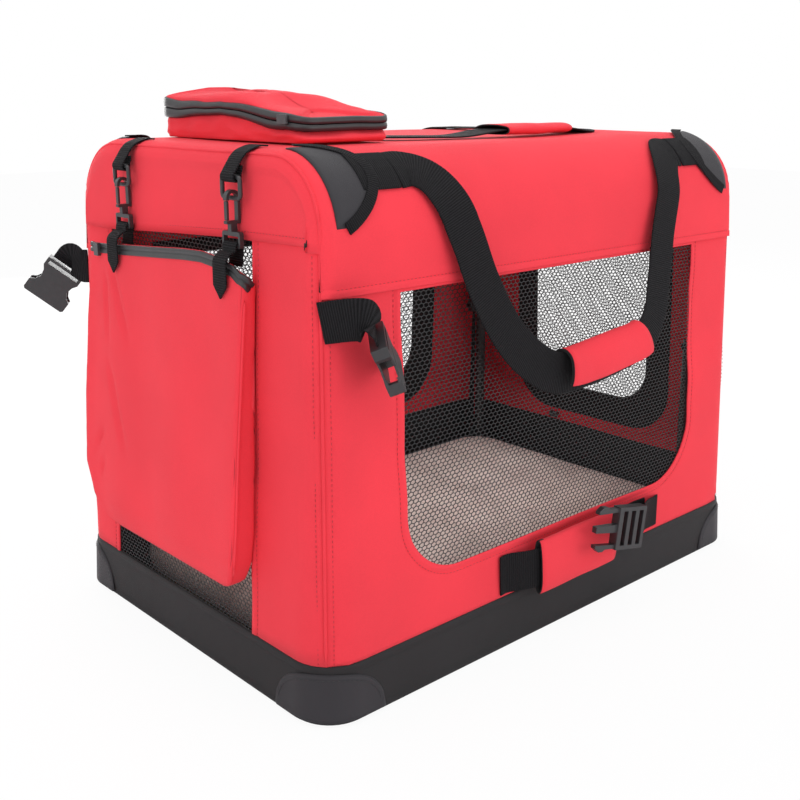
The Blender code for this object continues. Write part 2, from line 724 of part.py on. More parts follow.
def open_net(obj, side, half, bottom, top, corner, centre=0.0):
    """Cuts the net's plain grid of square openings, all clear of its bound edge."""
    wide = 2 * (half - NET_EDGE)
    tall = top - bottom - 2 * NET_EDGE
    columns = round((wide + NET_BAR) / (NET_OPENING + NET_BAR))
    rows = round((tall + NET_BAR) / (NET_OPENING + NET_BAR))
    pitch_s = (wide + NET_BAR) / columns
    pitch_z = (tall + NET_BAR) / rows
    bm = bmesh.new()
    for row in range(rows):
        low = bottom + NET_EDGE + row * pitch_z
        high = low + pitch_z - NET_BAR
        for column in range(columns):
            start = centre - half + NET_EDGE + column * pitch_s
            end = start + pitch_s - NET_BAR
            past = max(abs(start - centre), abs(end - centre)) - (half - corner)
            under = bottom + corner - low
            if past > 0 and under > 0 and math.hypot(past, under) > corner - NET_EDGE_LEAST:
                continue
            near = on_wall(side, start, low, -0.02)
            far = on_wall(side, end, high, 0.02)
            box(bm, tuple(map(min, near, far)), tuple(map(max, near, far)))
    cut(obj, bm, "openings")


def make_doors():
    """U-shaped net doors with bound edges, each hinged along the straight top of its window."""
    for side, sizes in WINDOWS.items():
        bm = bmesh.new()
        outline = shrink(window_u, *sizes, DOOR_GAP)
        points = [on_wall(side, s, z, -DOOR_INSET) for s, z in outline]
        plate(bm, points, -SIDES[side][1] * DOOR_THICKNESS)
        pivot = on_wall(side, 0.0, WINDOW_TOP, -DOOR_INSET - DOOR_THICKNESS / 2)
        door = finish_object(side + "_door", bm, pivot)
        open_net(door, side, *sizes)
        paint(door, BLACK_NET, 0.8)
        make_slider(side, sizes)


def make_slider(side, sizes):
    """The zip's slider, inside the wall under the far end of the door's straight lower edge."""
    half, bottom, top, corner = sizes
    along = SIDES[side][0]
    axis_sign = along.x + along.y
    run = half - corner
    span = (run - SLIDER_HEIGHT, run)
    z_top = bottom - SLIDER_INSET
    inner_face = -FABRIC - 2 * SKIN_GAP
    corners = ((span[0], z_top - SLIDER_WIDTH), (span[1], z_top - SLIDER_WIDTH), (span[1], z_top),
               (span[0], z_top))
    bm = bmesh.new()
    plate(bm, [on_wall(side, axis_sign * s, z, inner_face) for s, z in corners],
          -SIDES[side][1] * SLIDER_THICKNESS)
    pivot = on_wall(side, axis_sign * run, z_top, inner_face)
    paint(finish_object(side + "_zip_slider", bm, pivot), GREY_PLASTIC, 0.4)


def make_pocket_window():
    bm = bmesh.new()
    gap = DOOR_GAP
    centre = POCKET_WINDOW_CENTRE_Y
    half = POCKET_WINDOW_HALF - gap
    low = WALL_Z[0]
    top = POCKET_WINDOW_TOP - gap
    outline = [(centre - half, low), (centre + half, low), (centre + half, top), (centre - half, top)]
    plate(bm, [on_wall("left", s, z, -DOOR_INSET) for s, z in outline],
          -SIDES["left"][1] * DOOR_THICKNESS / 2)
    net = finish_object("left_mesh", bm)
    open_net(net, "left", half, low, top, 0.0, centre)
    paint(net, BLACK_NET, 0.8)


# Roof

def roof_outline():
    """The roof's cross-section from the front hem over the top to the back hem, as (y, z)."""
    steps = 7
    points = []
    for k in range(steps + 1):
        p = shoulder_point(0, math.pi / 2 * k / steps, -1)
        points.append((p.y, p.z))
    return points + [(-y, z) for y, z in reversed(points)]


def make_roof():
    bm = bmesh.new()
    rings = []
    for sx in (-1, 1):
        rings.append([bm.verts.new((sx * half_length(z), y, z)) for y, z in roof_outline()])
    for index in range(len(rings[0]) - 1):
        bm.faces.new((rings[0][index], rings[0][index + 1], rings[1][index + 1], rings[1][index]))
    for ring in rings:
        bm.faces.new(ring)
    bmesh.ops.recalc_face_normals(bm, faces=bm.faces)
    seams = [edge for edge in bm.edges
             if abs(abs(edge.verts[0].co.x) - half_length(edge.verts[0].co.z)) < 1e-5
             and edge.verts[0].co.x * edge.verts[1].co.x > 0 and len(edge.link_faces) == 2]
    bmesh.ops.bevel(bm, geom=seams, affect='EDGES', offset=CORNER_RADIUS_HIGH, segments=3,
                    profile=0.5, material=-1, clamp_overlap=True)
    obj = finish_object("roof_cover", bm)
    upward = [poly for poly in obj.data.polygons if poly.center.z > HEIGHT - 0.001]
    if upward[0].normal.z < 0:
        obj.data.flip_normals()
    thicken(obj, FABRIC)
    paint(obj, RED, 0.7)


def make_corner_trims():
    """At each roof corner a leaf-shaped patch and, from it, a webbing band to the handle."""
    steps = 8
    band_steps = 4
    outer_x = half_length(HEIGHT) - CORNER_RADIUS_HIGH
    swing = HANDLE_WIDTH / SHOULDER_RADIUS
    for end, sx in (("left", -1), ("right", 1)):
        for face, sy in (("front", -1), ("back", 1)):
            strip = []
            for k in range(steps + 1):
                share = 0.04 + 0.93 * k / steps
                width = 0.004 + CAP_WIDTH * math.sin(math.pi * share) ** 0.7
                strip.append([shoulder_point(sx * x, math.pi / 2 * share, sy, out) for x, out in
                              strap_section(outer_x, outer_x - width, CAP_THICKNESS)])
            bm = bmesh.new()
            loft(bm, strip)
            obj = finish_object("roof_corner_" + face + "_" + end, bm)
            strip = []
            for k in range(band_steps + 1):
                angle = BAND_ANGLE - swing / 2 + swing * k / band_steps
                strip.append([shoulder_point(sx * x, angle, sy, out) for x, out in
                              strap_section(outer_x - 0.7 * CAP_WIDTH, BAND_INNER_X, WEBBING)])
            band = bmesh.new()
            loft(band, strip)
            join(obj, band, "band")
            paint(obj, BLACK_WEBBING, 0.8)


def strap_section(x_from, x_to, thickness):
    """A strap's cross-section lying just off the roof, as (x, height above the surface)."""
    low = SURFACE_GAP
    high = SURFACE_GAP + thickness
    return ((x_from, low), (x_to, low), (x_to, high), (x_from, high))


# Handles

def body_surface(x, sy, z, out):
    """A point over the front or back at height z, and its normal, round the shoulder too."""
    if z <= SHOULDER_Z:
        return (Vector((x, sy * (half_width(z) + out), z)), Vector((0, sy, LEAN / HEIGHT)))
    angle = math.asin(min(1.0, (z - SHOULDER_Z) / SHOULDER_RADIUS))
    return shoulder_point(x, angle, sy, out), Vector((0, sy * math.cos(angle), math.sin(angle)))


def roof_surface(x, y, out):
    """A point over the roof at y, and its normal, round the shoulder too."""
    flat = half_width(HEIGHT) - SHOULDER_RADIUS
    if abs(y) <= flat:
        return Vector((x, y, HEIGHT + out)), Vector((0, 0, 1))
    angle = math.acos(min(1.0, (abs(y) - flat) / SHOULDER_RADIUS))
    sy = math.copysign(1, y)
    return shoulder_point(x, angle, sy, out), Vector((0, sy * math.cos(angle), math.sin(angle)))


def handle_pivot(sy):
    return shoulder_point(0, BAND_ANGLE, sy, SURFACE_GAP + WEBBING / 2)


def make_handle(name, sy, placed, first, last, width_share, depth_share):
    """One strap along its placed (point, normal) path, and its sleeve from first to last."""
    points = [point for point, normal in placed]
    normals = [normal for point, normal in placed]
    bm = bmesh.new()
    ribbon(bm, points, HANDLE_WIDTH, WEBBING, normals)
    paint(finish_object(name + "_strap", bm, handle_pivot(sy)), BLACK_WEBBING, 0.85)
    make_sleeve(name + "_sleeve", points[first:last], normals[first:last], handle_pivot(sy),
                width_share, depth_share)


def make_front_handle():
    """The strap hangs from the shoulder across the front door.

    Its shares are of the band's reach along X, the handle's drop and its standoff from the wall.
    """
    seat_z = shoulder_point(0, BAND_ANGLE, -1).z
    lie = SURFACE_GAP + WEBBING / 2
    end = BAND_INNER_X - BAND_TO_STRAP
    shares = [(-0.827, 0.045, 0.143), (-0.760, 0.153, 0.286), (-0.694, 0.320, 0.476),
              (-0.622, 0.529, 0.667), (-0.500, 0.755, 0.857), (-0.337, 0.916, 0.952),
              (-0.153, 1.0, 1.0), (0.184, 0.981, 1.0), (0.449, 0.938, 1.0), (0.582, 0.820, 0.905),
              (0.648, 0.615, 0.714), (0.704, 0.400, 0.524), (0.765, 0.218, 0.381),
              (0.819, 0.078, 0.190)]
    hanging = [(x * BAND_INNER_X, seat_z - drop * FRONT_HANDLE_DROP, out * FRONT_HANDLE_STANDOFF)
               for x, drop, out in shares]
    lead = 0.908 * BAND_INNER_X
    route = [(-end, seat_z, lie), (-lead, seat_z, lie), *hanging, (lead, seat_z, lie), (end, seat_z, lie)]
    placed = [body_surface(x, -1, z, out) for x, z, out in smooth_path(route, HANDLE_STEPS)]
    make_handle("front_handle", -1, placed, 8 * HANDLE_STEPS, 10 * HANDLE_STEPS + 1, 1.0, 1.0)


def make_back_handle():
    """The strap lies folded forward on the roof beside the pouch.

    Its shares are of the band's reach along X and of the roof's half width.
    """
    seat_y = shoulder_point(0, BAND_ANGLE, 1).y
    lie = SURFACE_GAP + WEBBING / 2
    end = BAND_INNER_X - BAND_TO_STRAP
    pad = SLEEVE_HALF_DEPTH + SURFACE_GAP
    shares = [(-0.765, 0.8925, lie), (-0.617, 0.8575, lie), (-0.526, 0.785, lie), (-0.490, 0.656, lie),
              (-0.482, 0.323, lie), (-0.480, 0.0, lie), (-0.449, -0.188, lie), (-0.306, -0.323, lie),
              (-0.102, -0.366, lie), (0.153, -0.366, pad), (0.408, -0.355, pad), (0.663, -0.344, pad),
              (0.878, -0.312, lie), (1.010, -0.204, lie), (1.046, -0.027, lie), (0.995, 0.188, lie),
              (0.893, 0.403, lie), (0.816, 0.618, lie), (0.796, 0.769, lie), (0.827, 0.860, lie)]
    lying = [(x * BAND_INNER_X, y * half_width(HEIGHT), out) for x, y, out in shares]
    lead = 0.903 * BAND_INNER_X
    route = [(-end, seat_y, lie), (-lead, seat_y, lie), *lying, (lead, seat_y, lie), (end, seat_y, lie)]
    placed = [roof_surface(x, y, out) for x, y, out in smooth_path(route, HANDLE_STEPS)]
    make_handle("back_handle", 1, placed, 11 * HANDLE_STEPS, 13 * HANDLE_STEPS + 1, 1.0, 0.9)


def make_sleeve(name, path, facing, pivot, width_share, depth_share):
    """A padded tube round the strap, open at both ends."""
    rings_out = []
    rings_in = []
    sides = 12
    for point, along, normal in zip(path, tangents(path), facing):
        across = along.cross(Vector(normal)).normalized()
        normal = across.cross(along).normalized()
        for rings, wall in ((rings_out, 0.0), (rings_in, SLEEVE_WALL)):
            half_a = SLEEVE_HALF_WIDTH * width_share - wall
            half_n = SLEEVE_HALF_DEPTH * depth_share - wall
            ring = []
            for k in range(sides):
                angle = 2 * math.pi * (k + 0.5) / sides
                ca = math.copysign(abs(math.cos(angle)) ** 0.6, math.cos(angle))
                sa = math.copysign(abs(math.sin(angle)) ** 0.6, math.sin(angle))
                ring.append(point + across * half_a * ca + normal * half_n * sa)
            rings.append(ring)
    bm = bmesh.new()
    closed_loft(bm, rings_out + rings_in[::-1])
    paint(finish_object(name, bm, pivot), RED, 0.7)


def make_base_handle():
    """The short strap sewn over the base band's top edge, with its red sleeve."""
    x0, x1 = BASE_HANDLE_X
    s0, s1 = BASE_SLEEVE_X
    surface = -wall_reach("front", BASE_HANDLE_Z)
    near = surface - SURFACE_GAP - WEBBING / 2
    far = surface - SURFACE_GAP - 2 * SLEEVE_HALF_DEPTH
    route = [(x0, near, BASE_HANDLE_Z), (x0 + BASE_LEAD_IN, near, BASE_HANDLE_Z), (s0, far, BASE_HANDLE_Z),
             ((s0 + s1) / 2, far, BASE_HANDLE_Z), (s1, far, BASE_HANDLE_Z),
             (x1 - BASE_LEAD_OUT, near, BASE_HANDLE_Z), (x1, near, BASE_HANDLE_Z)]
    path = smooth_path(route, 3)
    facing = [WALL_NORMAL] * len(path)
    pivot = (0, surface, BASE_HANDLE_Z - BASE_STRAP_WIDTH / 2)
    bm = bmesh.new()
    ribbon(bm, path, BASE_STRAP_WIDTH, WEBBING, facing)
    paint(finish_object("base_handle_strap", bm, pivot), BLACK_WEBBING, 0.85)
    make_sleeve("base_handle_sleeve", path[6:13], facing, pivot, 1.17, 1.0)


# Side pocket and hangers

def make_pocket_loops():
    """Two webbing loops from the roof over its left edge, each round a ring's top bar."""
    edge_x = half_length(HEIGHT)
    eye = (HANGER_X, RING_TOP_Z)
    eye_radius = RING_BAR_RADIUS + 0.0018
    for end, sy in (("front", -1), ("back", 1)):
        roof_z = HEIGHT + SURFACE_GAP
        section = [(-LOOP_ROOF_START, roof_z), (-edge_x + 0.012, roof_z)]
        section += [(-edge_x + 0.001, roof_z - 0.0035), (-edge_x - 0.0050, roof_z - 0.0085)]
        section += arc_points(eye, eye_radius, math.radians(150), math.radians(380), 8)
        path = [Vector((x, sy * LOOP_Y, z)) for x, z in section]
        facing = []
        for along in tangents(path):
            facing.append(Vector((0, 1, 0)).cross(along))
        bm = bmesh.new()
        ribbon(bm, path, LOOP_WIDTH, 0.0012, facing)
        paint(finish_object("pocket_loop_" + end, bm), BLACK_WEBBING, 0.85)


def make_hanger_rings():
    for end, sy in (("front", -1), ("back", 1)):
        mid_z = (RING_TOP_Z + RING_LOW_Z) / 2
        outline = rounded_rectangle(RING_HALF_WIDTH, (RING_TOP_Z - RING_LOW_Z) / 2, 0.003, 3)
        path = [Vector((HANGER_X, sy * LOOP_Y + y, mid_z + z)) for y, z in outline]
        rings = []
        for index, point in enumerate(path):
            along = (path[(index + 1) % len(path)] - path[index - 1]).normalized()
            across = along.cross(Vector((1, 0, 0)))
            rings.append([point + RING_BAR_RADIUS * (math.cos(a) * across + Vector((math.sin(a), 0, 0)))
                          for a in (2 * math.pi * k / 8 for k in range(8))])
        bm = bmesh.new()
        closed_loft(bm, rings)
        paint(finish_object("pocket_ring_" + end, bm, (HANGER_X, sy * LOOP_Y, RING_TOP_Z)),
              GREY_PLASTIC, 0.45)


def make_snap_hooks():
    """Snap hooks that hang edge-on: a loop with a gate, a swivel and an eye bar for the tab."""
    for end, sy in (("front", -1), ("back", 1)):
        y_low = sy * LOOP_Y - HOOK_THICKNESS / 2
        top_z = RING_LOW_Z + RING_BAR_RADIUS + HOOK_WALL + 0.002
        loop_low = top_z - HOOK_LOOP_LENGTH
        outer_w = HOOK_HALF_WIDTH
        x_mid = HANGER_X
        top_arc = arc_points((x_mid, top_z - outer_w), outer_w, 0.0, math.pi, 8)
        inner_arc = arc_points((x_mid, top_z - outer_w), outer_w - HOOK_WALL, math.pi, 0.0, 8)
        gate_top = top_z - outer_w
        outline = [(x, y_low, z) for x, z in top_arc]
        outline += [(x_mid - outer_w, y_low, gate_top - 0.002),
                    (x_mid - outer_w + HOOK_WALL, y_low, gate_top - 0.002)]
        outline += [(x, y_low, z) for x, z in inner_arc]
        outline += [(x_mid + outer_w - HOOK_WALL, y_low, loop_low + HOOK_WALL),
                    (x_mid - outer_w, y_low, loop_low + HOOK_WALL),
                    (x_mid - outer_w, y_low, loop_low), (x_mid - 0.003, y_low, loop_low),
                    (x_mid - 0.003, y_low, HOOK_BOTTOM_Z + 0.013),
                    (x_mid + 0.003, y_low, HOOK_BOTTOM_Z + 0.013),
                    (x_mid + 0.003, y_low, loop_low), (x_mid + outer_w, y_low, loop_low)]
        bm = bmesh.new()
        plate(bm, outline, (0, HOOK_THICKNESS, 0))
        hook_name = "snap_hook_" + end
        loop_part = finish_object(hook_name, bm, (x_mid, sy * LOOP_Y, RING_LOW_Z))
        frame = bmesh.new()
        eye_outer = rounded_rectangle(0.0125, 0.0065, 0.002, 2, (sy * LOOP_Y, HOOK_BOTTOM_Z + 0.0066))
        plate(frame, [(x_mid - 0.002, y, z) for y, z in eye_outer], (0.004, 0, 0))
        join(loop_part, frame, "eye")
        slot = bmesh.new()
        box(slot, (x_mid - 0.01, sy * LOOP_Y - 0.0102, HOOK_BOTTOM_Z + 0.0028),
            (x_mid + 0.01, sy * LOOP_Y + 0.0102, HOOK_BOTTOM_Z + 0.0095))
        cut(loop_part, slot, "slot")
        paint(loop_part, GREY_PLASTIC, 0.4)
        gate = bmesh.new()
        box(gate, (x_mid - outer_w + 0.0003, y_low + 0.0005, loop_low + HOOK_WALL + 0.0004),
            (x_mid - outer_w + HOOK_WALL - 0.0003, y_low + HOOK_THICKNESS - 0.0005, gate_top - 0.0024))
        paint(finish_object("hook_gate_" + end, gate,
                            (x_mid - outer_w + HOOK_WALL / 2, sy * LOOP_Y, loop_low + HOOK_WALL)),
              GREY_PLASTIC, 0.4)


def pocket_back_x(z):
    return -(half_length(z) + POCKET_WALL_GAP)


# Height share, fullness share, front edge's step in, back edge's step out.
POCKET_LEVELS = ((1.0, 0.0, 0.0, 0.0), (0.96, 0.08, 0.0, 0.0), (0.75, 0.35, 0.0, 0.004),
                 (0.45, 0.75, 0.0, 0.006), (0.20, 1.0, 0.0, 0.004), (0.08, 0.92, 0.004, -0.010),
                 (0.02, 0.60, 0.012, -0.028), (0.0, 0.30, 0.020, -0.042))


def pocket_depth(z):
    """The pocket's thickness at height z, read off its levels."""
    height = (z - POCKET_LOW_Z) / (POCKET_TOP_Z - POCKET_LOW_Z)
    for upper, lower in zip(POCKET_LEVELS, POCKET_LEVELS[1:]):
        if height >= lower[0]:
            share = (height - lower[0]) / (upper[0] - lower[0])
            fullness = lower[1] + (upper[1] - lower[1]) * share
            return POCKET_TOP_DEPTH + (POCKET_LOW_DEPTH - POCKET_TOP_DEPTH) * fullness
    return POCKET_TOP_DEPTH


def make_pocket():
    """The zipped pocket hanging on the left end, fuller towards its lower edge."""
    bm = bmesh.new()
    rings = []
    for height, fullness, front_trim, back_grow in POCKET_LEVELS:
        z = POCKET_LOW_Z + (POCKET_TOP_Z - POCKET_LOW_Z) * height
        depth = POCKET_TOP_DEPTH + (POCKET_LOW_DEPTH - POCKET_TOP_DEPTH) * fullness
        y_low = POCKET_FRONT_Y + front_trim
        y_high = POCKET_BACK_Y + back_grow
        x_in = pocket_back_x(z)
        centre = (x_in - depth / 2, (y_low + y_high) / 2)
        rings.append(at_height(rounded_rectangle(depth / 2, (y_high - y_low) / 2,
                                                 min(0.004, depth / 2.5), 2, centre), z))
    loft(bm, rings)
    pivot = (HANGER_X, 0, RING_LOW_Z)
    paint(finish_object("side_pocket", bm, pivot), RED, 0.7)
    for end, sy in (("front", -1), ("back", 1)):
        eye_z = HOOK_BOTTOM_Z + 0.0014
        path_xz = [(HANGER_X - 0.0050, POCKET_TOP_Z + 0.0010), (HANGER_X - 0.0042, eye_z - 0.004)]
        path_xz += arc_points((HANGER_X, eye_z), 0.0036, math.pi, 0.0, 6)
        path_xz += [(HANGER_X + 0.0030, eye_z - 0.004), (HANGER_X + 0.0018, POCKET_TOP_Z + 0.0010)]
        path = [Vector((x, sy * LOOP_Y, z)) for x, z in path_xz]
        facing = [Vector((0, 1, 0)).cross(along) for along in tangents(path)]
        tab = bmesh.new()
        ribbon(tab, path, TAB_WIDTH, 0.0012, facing)
        paint(finish_object("pocket_tab_" + end, tab, pivot), BLACK_WEBBING, 0.85)
    slider = bmesh.new()
    z = POCKET_TOP_Z - SLIDER_HEIGHT
    x_face = pocket_back_x(z) - pocket_depth(z) - 2 * SKIN_GAP
    y = POCKET_ZIP_START_Y
    box(slider, (x_face - SLIDER_THICKNESS, y, z), (x_face, y + SLIDER_WIDTH, z + SLIDER_HEIGHT))
    paint(finish_object("pocket_zip_slider", slider, (x_face, y, z)), GREY_PLASTIC, 0.4)


# Roof pouch

def make_roof_pouch():
    centre = ((POUCH_X[0] + POUCH_X[1]) / 2, (POUCH_Y[0] + POUCH_Y[1]) / 2)
    half = ((POUCH_X[1] - POUCH_X[0]) / 2, (POUCH_Y[1] - POUCH_Y[0]) / 2)
    low = HEIGHT + SKIN_GAP
    rim = low + POUCH_BODY_HEIGHT

    def ring(inset, z):
        return at_height(rounded_rectangle(half[0] - inset, half[1] - inset,
                                           max(POUCH_CORNER - inset, 0.004), 4, centre), z)

    bm = bmesh.new()
    loft(bm, [ring(0.004, low), ring(0.0, low + 0.004), ring(0.001, rim),
              ring(POUCH_WALL + 0.001, rim), ring(POUCH_WALL + 0.002, low + POUCH_WALL)])
    paint(finish_object("roof_pouch", bm), RED, 0.7)
    lid = bmesh.new()
    base = rim + LID_CLEARANCE
    top = base + POUCH_LID_HEIGHT
    rise = POUCH_LID_HEIGHT
    loft(lid, [ring(POUCH_WALL, base), ring(0.0, base), ring(-0.04 * rise, base + 0.36 * rise),
               ring(0.27 * rise, base + 0.71 * rise), ring(0.89 * rise, base + 0.93 * rise),
               ring(1.6 * rise, top)])
    obj = finish_object("roof_pouch_lid", lid, (POUCH_X[1], centre[1], base))
    hollow = bmesh.new()
    loft(hollow, [ring(POUCH_WALL, base - POUCH_WALL), ring(POUCH_WALL, base + 0.36 * rise),
                  ring(0.53 * rise, base + 0.62 * rise), ring(1.51 * rise, top - POUCH_WALL)])
    cut(obj, hollow, "hollow")
    paint(obj, RED, 0.7)
    slider = bmesh.new()
    x_face = POUCH_X[0] - 0.0018
    y = POUCH_Y[0] + POUCH_CORNER
    box(slider, (x_face - SLIDER_THICKNESS, y, base - SLIDER_WIDTH / 2),
        (x_face, y + SLIDER_HEIGHT, base + SLIDER_WIDTH / 2))
    paint(finish_object("pouch_zip_slider", slider, (x_face, y, base)), GREY_PLASTIC, 0.4)


# Buckles

def buckle_frame(origin, long_dir, face_dir):
    """A placing matrix: local X is the buckle's width, Y its length from the webbing bar, Z its face."""
    y_axis = Vector(long_dir).normalized()
    z_axis = Vector(face_dir).normalized()
    x_axis = y_axis.cross(z_axis).normalized()
    z_axis = x_axis.cross(y_axis).normalized()
    matrix = Matrix((x_axis, y_axis, z_axis)).transposed().to_4x4()
    matrix.translation = origin
    return matrix


def make_female_buckle(name, place):
    """A hollow shell with a waist, side windows for the prongs and a slotted bar for its webbing."""
    half = BUCKLE_WIDTH / 2
    length = BUCKLE_LENGTH
    outline = [(-half * 0.86, 0.0), (-half * 0.86, 0.009), (-half * 0.72, 0.014), (-half * 0.66, 0.021),
               (-half * 0.80, 0.027), (-half, 0.030), (-half, length - 0.002), (-half + 0.002, length)]
    outline = outline + [(-x, y) for x, y in reversed(outline)]
    bm = bmesh.new()
    thick = BUCKLE_THICKNESS
    plate(bm, [(x, y, -thick / 2) for x, y in outline], (0, 0, thick))
    bm.transform(place)
    obj = finish_object(name, bm, place.translation)
    tool = bmesh.new()
    box(tool, (-half + 2 * BUCKLE_WALL, 0.013, -thick / 2 + BUCKLE_WALL),
        (half - 2 * BUCKLE_WALL, length + 0.01, thick / 2 - BUCKLE_WALL))
    tool.transform(place)
    cut(obj, tool, "socket")
    windows = bmesh.new()
    box(windows, (-BUCKLE_WIDTH, 0.0175, -thick / 2 + 1.5 * BUCKLE_WALL),
        (BUCKLE_WIDTH, 0.0305, thick / 2 - 1.5 * BUCKLE_WALL))
    windows.transform(place)
    cut(obj, windows, "windows")
    slot = bmesh.new()
    box(slot, (-half * 0.72, 0.0026, -thick), (half * 0.72, 0.0062, thick))
    slot.transform(place)
    cut(obj, slot, "slot")
    paint(obj, GREY_PLASTIC, 0.4)


def make_male_buckle(place):
    """A ladder block with a centre guide and two side prongs."""
    half = BUCKLE_WIDTH / 2 - 0.002
    bm = bmesh.new()
    block = MALE_BLOCK
    thick = 0.010
    tip = PRONG_LENGTH
    outline = [(-half, 0.0), (-half, block), (-half + 0.001, block)]
    outline += [(-half + 0.001, block + 0.45 * tip), (-half - 0.001, block + 0.55 * tip),
                (-half - 0.001, block + 0.75 * tip), (-half + 0.003, block + 0.95 * tip),
                (-half + 0.006, block + 0.95 * tip), (-half + 0.005, block), (-0.0040, block),
                (-0.0030, block + tip)]
    outline = outline + [(-x, y) for x, y in reversed(outline)]
    plate(bm, [(x, y, -thick / 2 + 0.002) for x, y in outline], (0, 0, thick - 0.004))
    bm.transform(place)
    obj = finish_object("male_buckle", bm, place.translation)
    core = bmesh.new()
    box(core, (-half, 0.0, -thick / 2), (half, block, thick / 2))
    core.transform(place)
    join(obj, core, "block")
    slot = bmesh.new()
    for y in (0.0040, 0.0145, 0.0250):
        box(slot, (-half + 0.004, y, -thick), (half - 0.004, y + 0.0055, thick))
    slot.transform(place)
    cut(obj, slot, "slots")
    paint(obj, GREY_PLASTIC, 0.4)


def make_buckles():
    seam = corner_seam(-1, -1, STUB_MID_Z, BAR_GAP)
    front_place = buckle_frame(seam + Vector((0.0285, -0.0306, -0.0090)), (0.47, 0.0, -0.88),
                               (0.74, -0.67, 0.30))
    make_female_buckle("front_female_buckle", front_place)
    make_stub("front_buckle_stub", seam, front_place,
              (Vector((0.0140, -0.0234, 0.0045)), Vector((0.0230, -0.0284, 0.0020))), (-0.60, -0.80, 0.0))
    seam = corner_seam(-1, 1, STUB_MID_Z, BAR_GAP)
    back_place = buckle_frame(seam + Vector((-0.0070, 0.0337, -0.0040)), (-0.465, 0.425, -0.78),
                              (-0.41, -0.90, 0.16))
    make_female_buckle("back_female_buckle", back_place)
    make_stub("back_buckle_stub", seam, back_place,
              (Vector((-0.0034, 0.0094, 0.0)), Vector((-0.0054, 0.0219, 0.0050))), (-1.0, -0.2, 0.0))
    surface = -wall_reach("front", BASE_HANDLE_Z)
    male_origin = Vector((MALE_X, surface - MALE_STANDOFF, MALE_Z))
    make_male_buckle(buckle_frame(male_origin, (-0.0618, 0.0092, 0.0097), (0.0, -1.0, 0.0)))
    make_male_tab(male_origin)


def corner_seam(sx, sy, z, out):
    """The vertical seam in the middle of a rounded corner."""
    reach = corner_radius(z) * (1 - math.sqrt(0.5)) - out * math.sqrt(0.5)
    return Vector((sx * (half_length(z) - reach), sy * (half_width(z) - reach), z))


def make_stub(name, seam, place, through, seam_face):
    """Webbing from the corner seam that turns as it goes out to the buckle's slotted bar."""
    length_dir = place.to_3x3() @ Vector((0, 1, 0))
    face_dir = place.to_3x3() @ Vector((0, 0, 1))
    bar = place.translation - length_dir * BAR_GAP
    path = smooth_path([seam, *[seam + step for step in through], bar - length_dir * 0.006], 3)
    path += [bar - length_dir * 0.003, bar]
    start = Vector(seam_face).normalized()
    facing = []
    for index in range(len(path)):
        turned = 1.9 * (index / (len(path) - 1) - 0.25)
        facing.append(start.lerp(face_dir, min(1.0, max(0.0, turned))))
    bm = bmesh.new()
    ribbon(bm, path, STUB_WIDTH, WEBBING, facing)
    paint(finish_object(name, bm), BLACK_WEBBING, 0.85)


def make_male_tab(male_origin):
    """The webbing tab on the base band that holds the male buckle."""
    surface = -wall_reach("front", BASE_HANDLE_Z)
    x_end = BASE_HANDLE_X[1] + TAB_STEP
    path = [Vector((x_end + 0.018, surface - SURFACE_GAP - WEBBING / 2, BASE_HANDLE_Z)),
            Vector((x_end + 0.007, surface - SURFACE_GAP - 2 * WEBBING, BASE_HANDLE_Z + 0.001)),
            Vector((x_end - 0.014, surface - 0.0120, BASE_HANDLE_Z + 0.006)),
            Vector((x_end - 0.040, surface - 0.0260, BASE_HANDLE_Z + 0.013)),
            Vector((male_origin.x + 0.009, male_origin.y + 0.0035, male_origin.z - 0.0014)),
            Vector((male_origin.x + BAR_GAP, male_origin.y, male_origin.z))]
    bm = bmesh.new()
    ribbon(bm, path, STUB_WIDTH, WEBBING, [WALL_NORMAL] * len(path))
    paint(finish_object("male_buckle_tab", bm), BLACK_WEBBING, 0.85)


def main():
    clear_scene()
    make_tray()
    make_board()
    make_mat()
    make_base_ring()
    make_legs()
    make_hoops()
    make_rails()
    make_walls()
    make_doors()
    make_pocket_window()
    make_roof()
    make_corner_trims()
    make_front_handle()
    make_back_handle()
    make_base_handle()
    make_pocket_loops()
    make_hanger_rings()
    make_snap_hooks()
    make_pocket()
    make_roof_pouch()
    make_buckles()


main()
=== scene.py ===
# %% [markdown]
# A folding pet carrier, dressed for a studio photograph.
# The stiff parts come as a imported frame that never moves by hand. Everything soft is made here:
# red cloth, black webbing, net, plush. Each piece is modelled where it stays, in metres.

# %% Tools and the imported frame
import math

import bmesh
import bpy
import numpy as np
from mathutils import Matrix, Vector, noise


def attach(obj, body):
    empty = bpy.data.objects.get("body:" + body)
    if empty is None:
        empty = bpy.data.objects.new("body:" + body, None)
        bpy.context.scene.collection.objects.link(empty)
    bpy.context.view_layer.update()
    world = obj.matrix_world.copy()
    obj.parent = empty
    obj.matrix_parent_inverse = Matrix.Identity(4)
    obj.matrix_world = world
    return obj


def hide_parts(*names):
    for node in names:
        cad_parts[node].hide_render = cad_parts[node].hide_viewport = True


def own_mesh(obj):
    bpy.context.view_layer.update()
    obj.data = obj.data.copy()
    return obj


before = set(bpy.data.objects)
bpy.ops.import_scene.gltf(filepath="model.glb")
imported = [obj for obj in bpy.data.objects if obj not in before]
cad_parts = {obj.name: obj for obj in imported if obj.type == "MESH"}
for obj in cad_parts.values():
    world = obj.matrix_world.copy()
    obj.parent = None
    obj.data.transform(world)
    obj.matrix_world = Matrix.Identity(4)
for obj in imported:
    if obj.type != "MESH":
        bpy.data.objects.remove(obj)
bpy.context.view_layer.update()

# %% [markdown]
# The body is a box that leans inwards a little on all sides. Its long top edges are big rounds
# and its upright corners are smaller ones that get sharper towards the top. All cloth follows
# these few sizes, so they come first.

